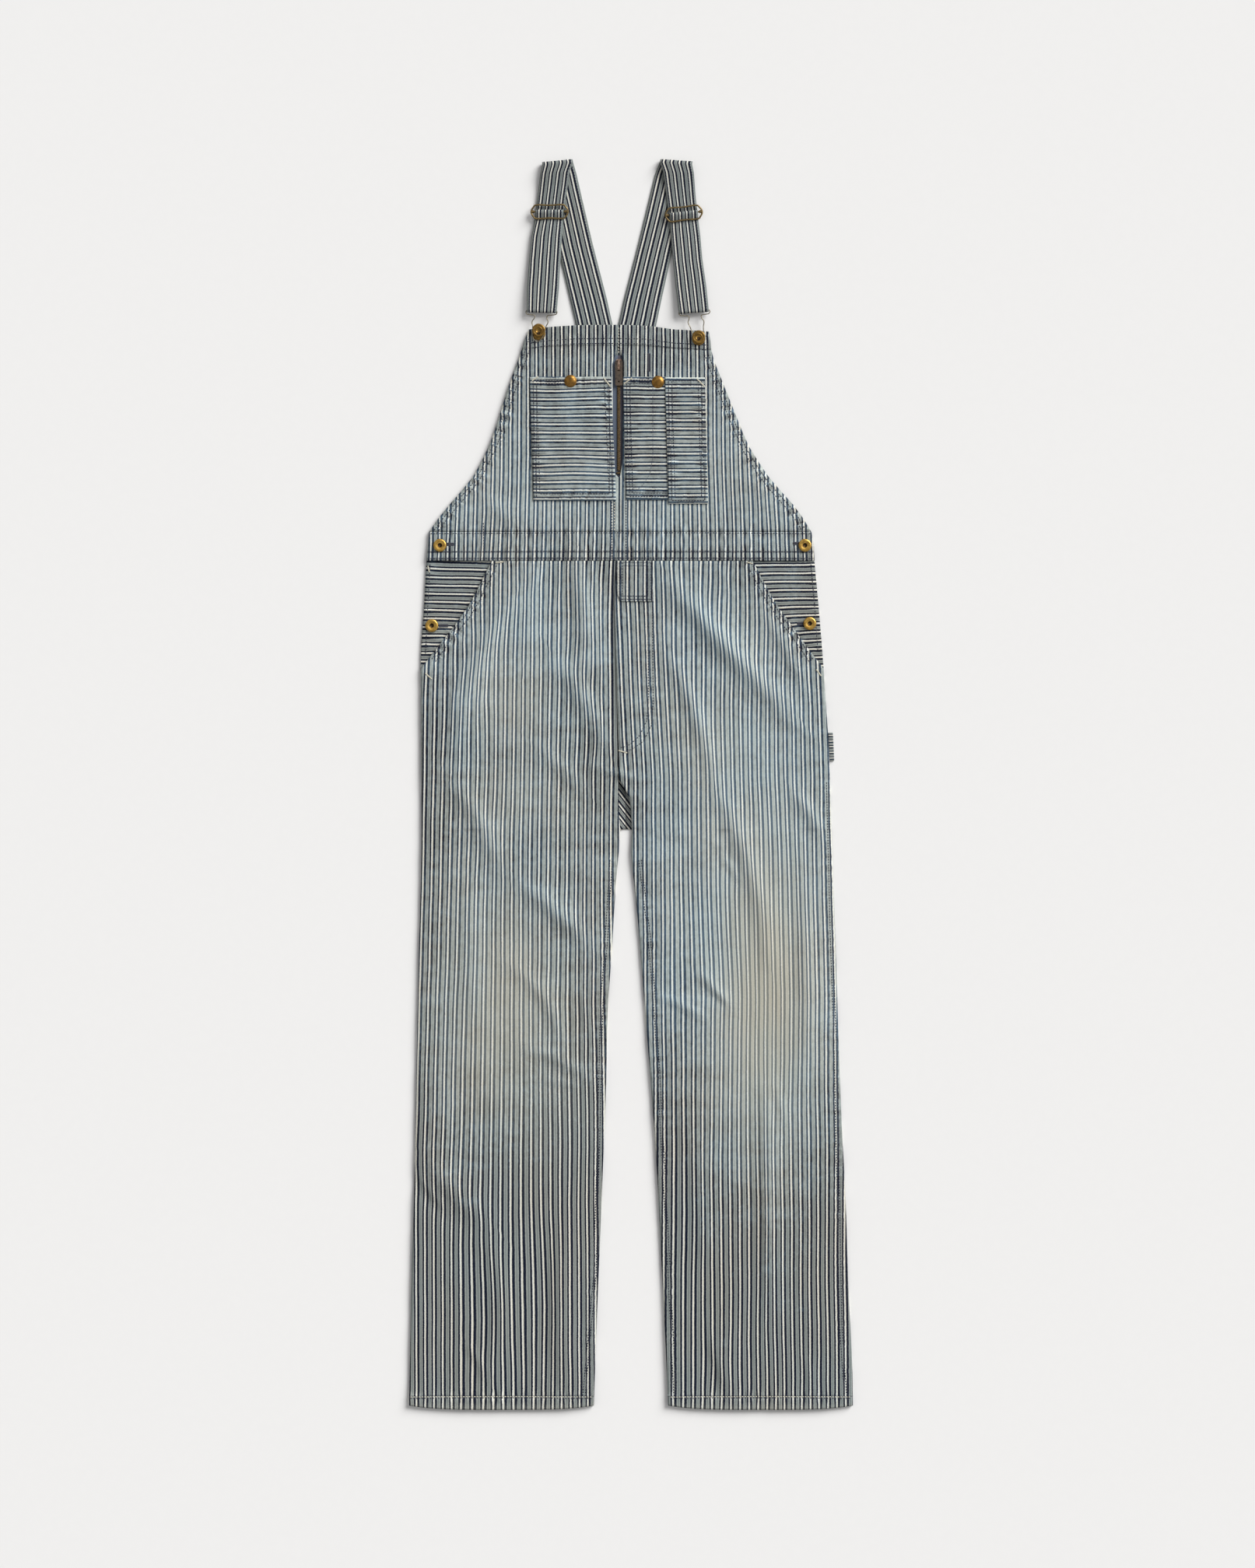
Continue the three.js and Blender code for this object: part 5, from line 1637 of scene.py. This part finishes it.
NECK_START = 1.2
NECK_END = 3.4
HOLLOW_FLOOR = 0.5


def turned(node, profile, x, down, finish, lean=0.0, hollow_shade=None, hollow=0.0):
    """A turned brass part that stands for its CAD node, leaning along its neck."""
    shape = bmesh.new()
    verts = [shape.verts.new((radius * MM, 0, height * MM)) for radius, height in profile]
    edges = [shape.edges.new(pair) for pair in zip(verts, verts[1:])]
    bmesh.ops.spin(
        shape, geom=verts + edges, cent=(0, 0, 0), axis=(0, 0, 1), dvec=(0, 0, 0),
        angle=2 * math.pi, steps=LATHE_STEPS, use_merge=True,
    )
    bmesh.ops.remove_doubles(shape, verts=shape.verts, dist=MERGED)
    bmesh.ops.recalc_face_normals(shape, faces=shape.faces)
    for vertex in shape.verts:
        share = (vertex.co.z / MM - NECK_START) / (NECK_END - NECK_START)
        vertex.co.y += lean * min(max(share, 0), 1) * MM
    middle = place(x, down)
    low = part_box(node)[0].z
    bmesh.ops.translate(shape, verts=shape.verts, vec=middle + Vector((0, 0, low)))
    # Faces in the hollow middle take the dark second finish, painted shade in the hole.
    for face in shape.faces:
        centre = face.calc_center_median()
        inside = (centre - middle).to_2d().length < hollow * MM
        if inside and face.normal.z > 0 and centre.z > low + HOLLOW_FLOOR * MM:
            face.material_index = 1
    made = finish_mesh(node + "_brass", shape, *([finish, hollow_shade] if hollow_shade else [finish]))
    stand_for(made, node)


def wire(name, points, radius, closed=True):
    """A bent round wire through points in metres."""
    curve = bpy.data.curves.new(name, "CURVE")
    curve.dimensions = "3D"
    curve.bevel_depth = radius * MM
    curve.bevel_resolution = 3
    curve.resolution_u = 8
    spline = curve.splines.new("BEZIER")
    spline.bezier_points.add(len(points) - 1)
    for knot, point in zip(spline.bezier_points, points):
        knot.co = point
        knot.handle_left_type = knot.handle_right_type = "AUTO"
    spline.use_cyclic_u = closed
    curve.use_fill_caps = not closed
    drawn = bpy.data.objects.new(name + "_line", curve)
    bpy.context.collection.objects.link(drawn)
    bpy.context.view_layer.update()
    shape = bmesh.new()
    seen = drawn.evaluated_get(bpy.context.evaluated_depsgraph_get())
    shape.from_mesh(bpy.data.meshes.new_from_object(seen))
    bpy.data.objects.remove(drawn)
    bmesh.ops.recalc_face_normals(shape, faces=shape.faces)
    return shape


# Half width of the hook at each distance from its bar.
HOOK = [
    (0, 19.2), (3.4, 19.4), (5.2, 14), (6.2, 8.4), (9, 8), (14, 10.2), (20, 8.6), (29, 7),
    (36.5, 4.6),
]
HOOK_END = 38.9
HOOK_WIRE_SHOWN = 0.64
# Half widths and half height of the strap slider's ring, and the size of its corners.
SLIDER_TOP = 20.2
SLIDER_MIDDLE = 23.6
SLIDER_FOOT = 20.4
SLIDER_ROUND = 1.5
KNOB_TURNS = 3
KNOB_RADIUS = 1.5
KNOB_WIRE = 0.62
KNOB_STEP = 1.25
KNOB_IN = 3.2


def slider_ring():
    """Outline of the strap slider: its left half, foot, right half and head."""
    r, t, m, b, c = SLIDER_REACH, SLIDER_TOP, SLIDER_MIDDLE, SLIDER_FOOT, SLIDER_ROUND
    left = [(-t + c, r), (0, r), (t - c, r), (t, r - c), (m, 0), (b, -r + c)]
    right = [(b - c, -r), (0, -r), (-b + c, -r), (-b, -r + c), (-m, 0), (-t, r - c)]
    return [Vector((px * MM, py * MM, 0)) for px, py in left + right]


def dress_slider(side, finish):
    """A strap slider: its ring, its bar, and the wire coiled at both ends of the bar."""
    shape = wire("ring", slider_ring(), WIRE)
    bar = [Vector((px * MM, 0, 0)) for px in (-SLIDER_MIDDLE, 0, SLIDER_MIDDLE)]
    merge_shapes(shape, wire("bar", bar, WIRE, closed=False))
    angles = np.linspace(0, 2 * math.pi, 9)[:-1]
    turn_of_wire = [(KNOB_RADIUS * math.cos(a), KNOB_RADIUS * math.sin(a)) for a in angles]
    for end in (-1, 1):
        for index in range(KNOB_TURNS):
            px = end * (SLIDER_MIDDLE - KNOB_IN + KNOB_STEP * index)
            coil = [Vector((px * MM, py * MM, pz * MM)) for py, pz in turn_of_wire]
            merge_shapes(shape, wire("coil", coil, KNOB_WIRE))
    x, down, turn = STRAPS[side]["slider"]
    at = Matrix.Translation(place(x, down, SLIDER_HEIGHT)) @ Matrix.Rotation(turn, 4, "Z")
    bmesh.ops.transform(shape, matrix=at, verts=shape.verts)
    made = finish_mesh("strap_slider_" + side + "_brass", shape, finish)
    stand_for(made, "strap_slider_" + side)


def dress_hook(side, finish):
    """A strap hook of bent wire, leaning towards its button."""
    x, down, turn = STRAPS[side]["hook"]
    button_x, button_down, _ = STRAPS[side]["button"]
    lean = math.sin(math.atan2(button_x - x, button_down - down) - turn)
    right = [(half + lean * along, -along) for along, half in HOOK]
    left = [(lean * along - half, -along) for along, half in HOOK][::-1]
    outline = [(0, 0)] + right + [(lean * HOOK_END, -HOOK_END)] + left
    points = [Vector((px * MM, py * MM, 0)) for px, py in outline]
    shape = wire("hook", points, HOOK_WIRE_SHOWN)
    at = Matrix.Translation(place(x, down, HOOK_HEIGHT)) @ Matrix.Rotation(turn, 4, "Z")
    bmesh.ops.transform(shape, matrix=at, verts=shape.verts)
    made = finish_mesh("hook_" + side + "_wire", shape, finish)
    stand_for(made, "hook_" + side)


def dress_brass():
    """Buttons, studs, sliders and hooks."""
    brass = metal("button_brass", (162, 126, 62), (110, 84, 42), (46, 34, 22), 0.36)
    # Dark finish for the buttons' hollow middles: painted shade in the hole.
    hollow_shade = metal("button_hollow_shade", (74, 56, 34), (52, 40, 26), (26, 20, 16), 0.5)
    side_brass = metal("side_brass", (224, 184, 96), (172, 132, 62), (80, 58, 30), 0.34)
    stud_brass = metal("stud_brass", (168, 124, 58), (112, 82, 40), (50, 36, 22), 0.32)
    bronze = metal("wire_brass", (150, 128, 84), (104, 88, 62), (50, 42, 34), 0.4)
    steel = metal("hook_wire", (166, 158, 138), (118, 110, 94), (60, 54, 46), 0.4)
    for side in ("right", "left"):
        x, down, lean = STRAPS[side]["button"]
        node = "bib_button_" + side
        turned(node, BUTTON_HEAD, x, down + lean, brass, lean, hollow_shade=hollow_shade, hollow=2.4)
    for node, x, down in SIDE_BUTTONS:
        turned(node, SIDE_HEAD, x, down, side_brass, hollow_shade=hollow_shade, hollow=3.0)
    for node, x, down in STUDS:
        turned(node, STUD_HEAD, x, down, stud_brass)
    for side in ("right", "left"):
        dress_slider(side, bronze)
        dress_hook(side, steel)


def merge_shapes(shape, other):
    """Adds one bmesh to another."""
    mesh = bpy.data.meshes.new("part")
    other.to_mesh(mesh)
    other.free()
    shape.from_mesh(mesh)
    bpy.data.meshes.remove(mesh)


studio()
lay_floor()
dress_back()
dress_front()
dress_patches()
dress_straps()
dress_zip()
dress_brass()
sew_all()
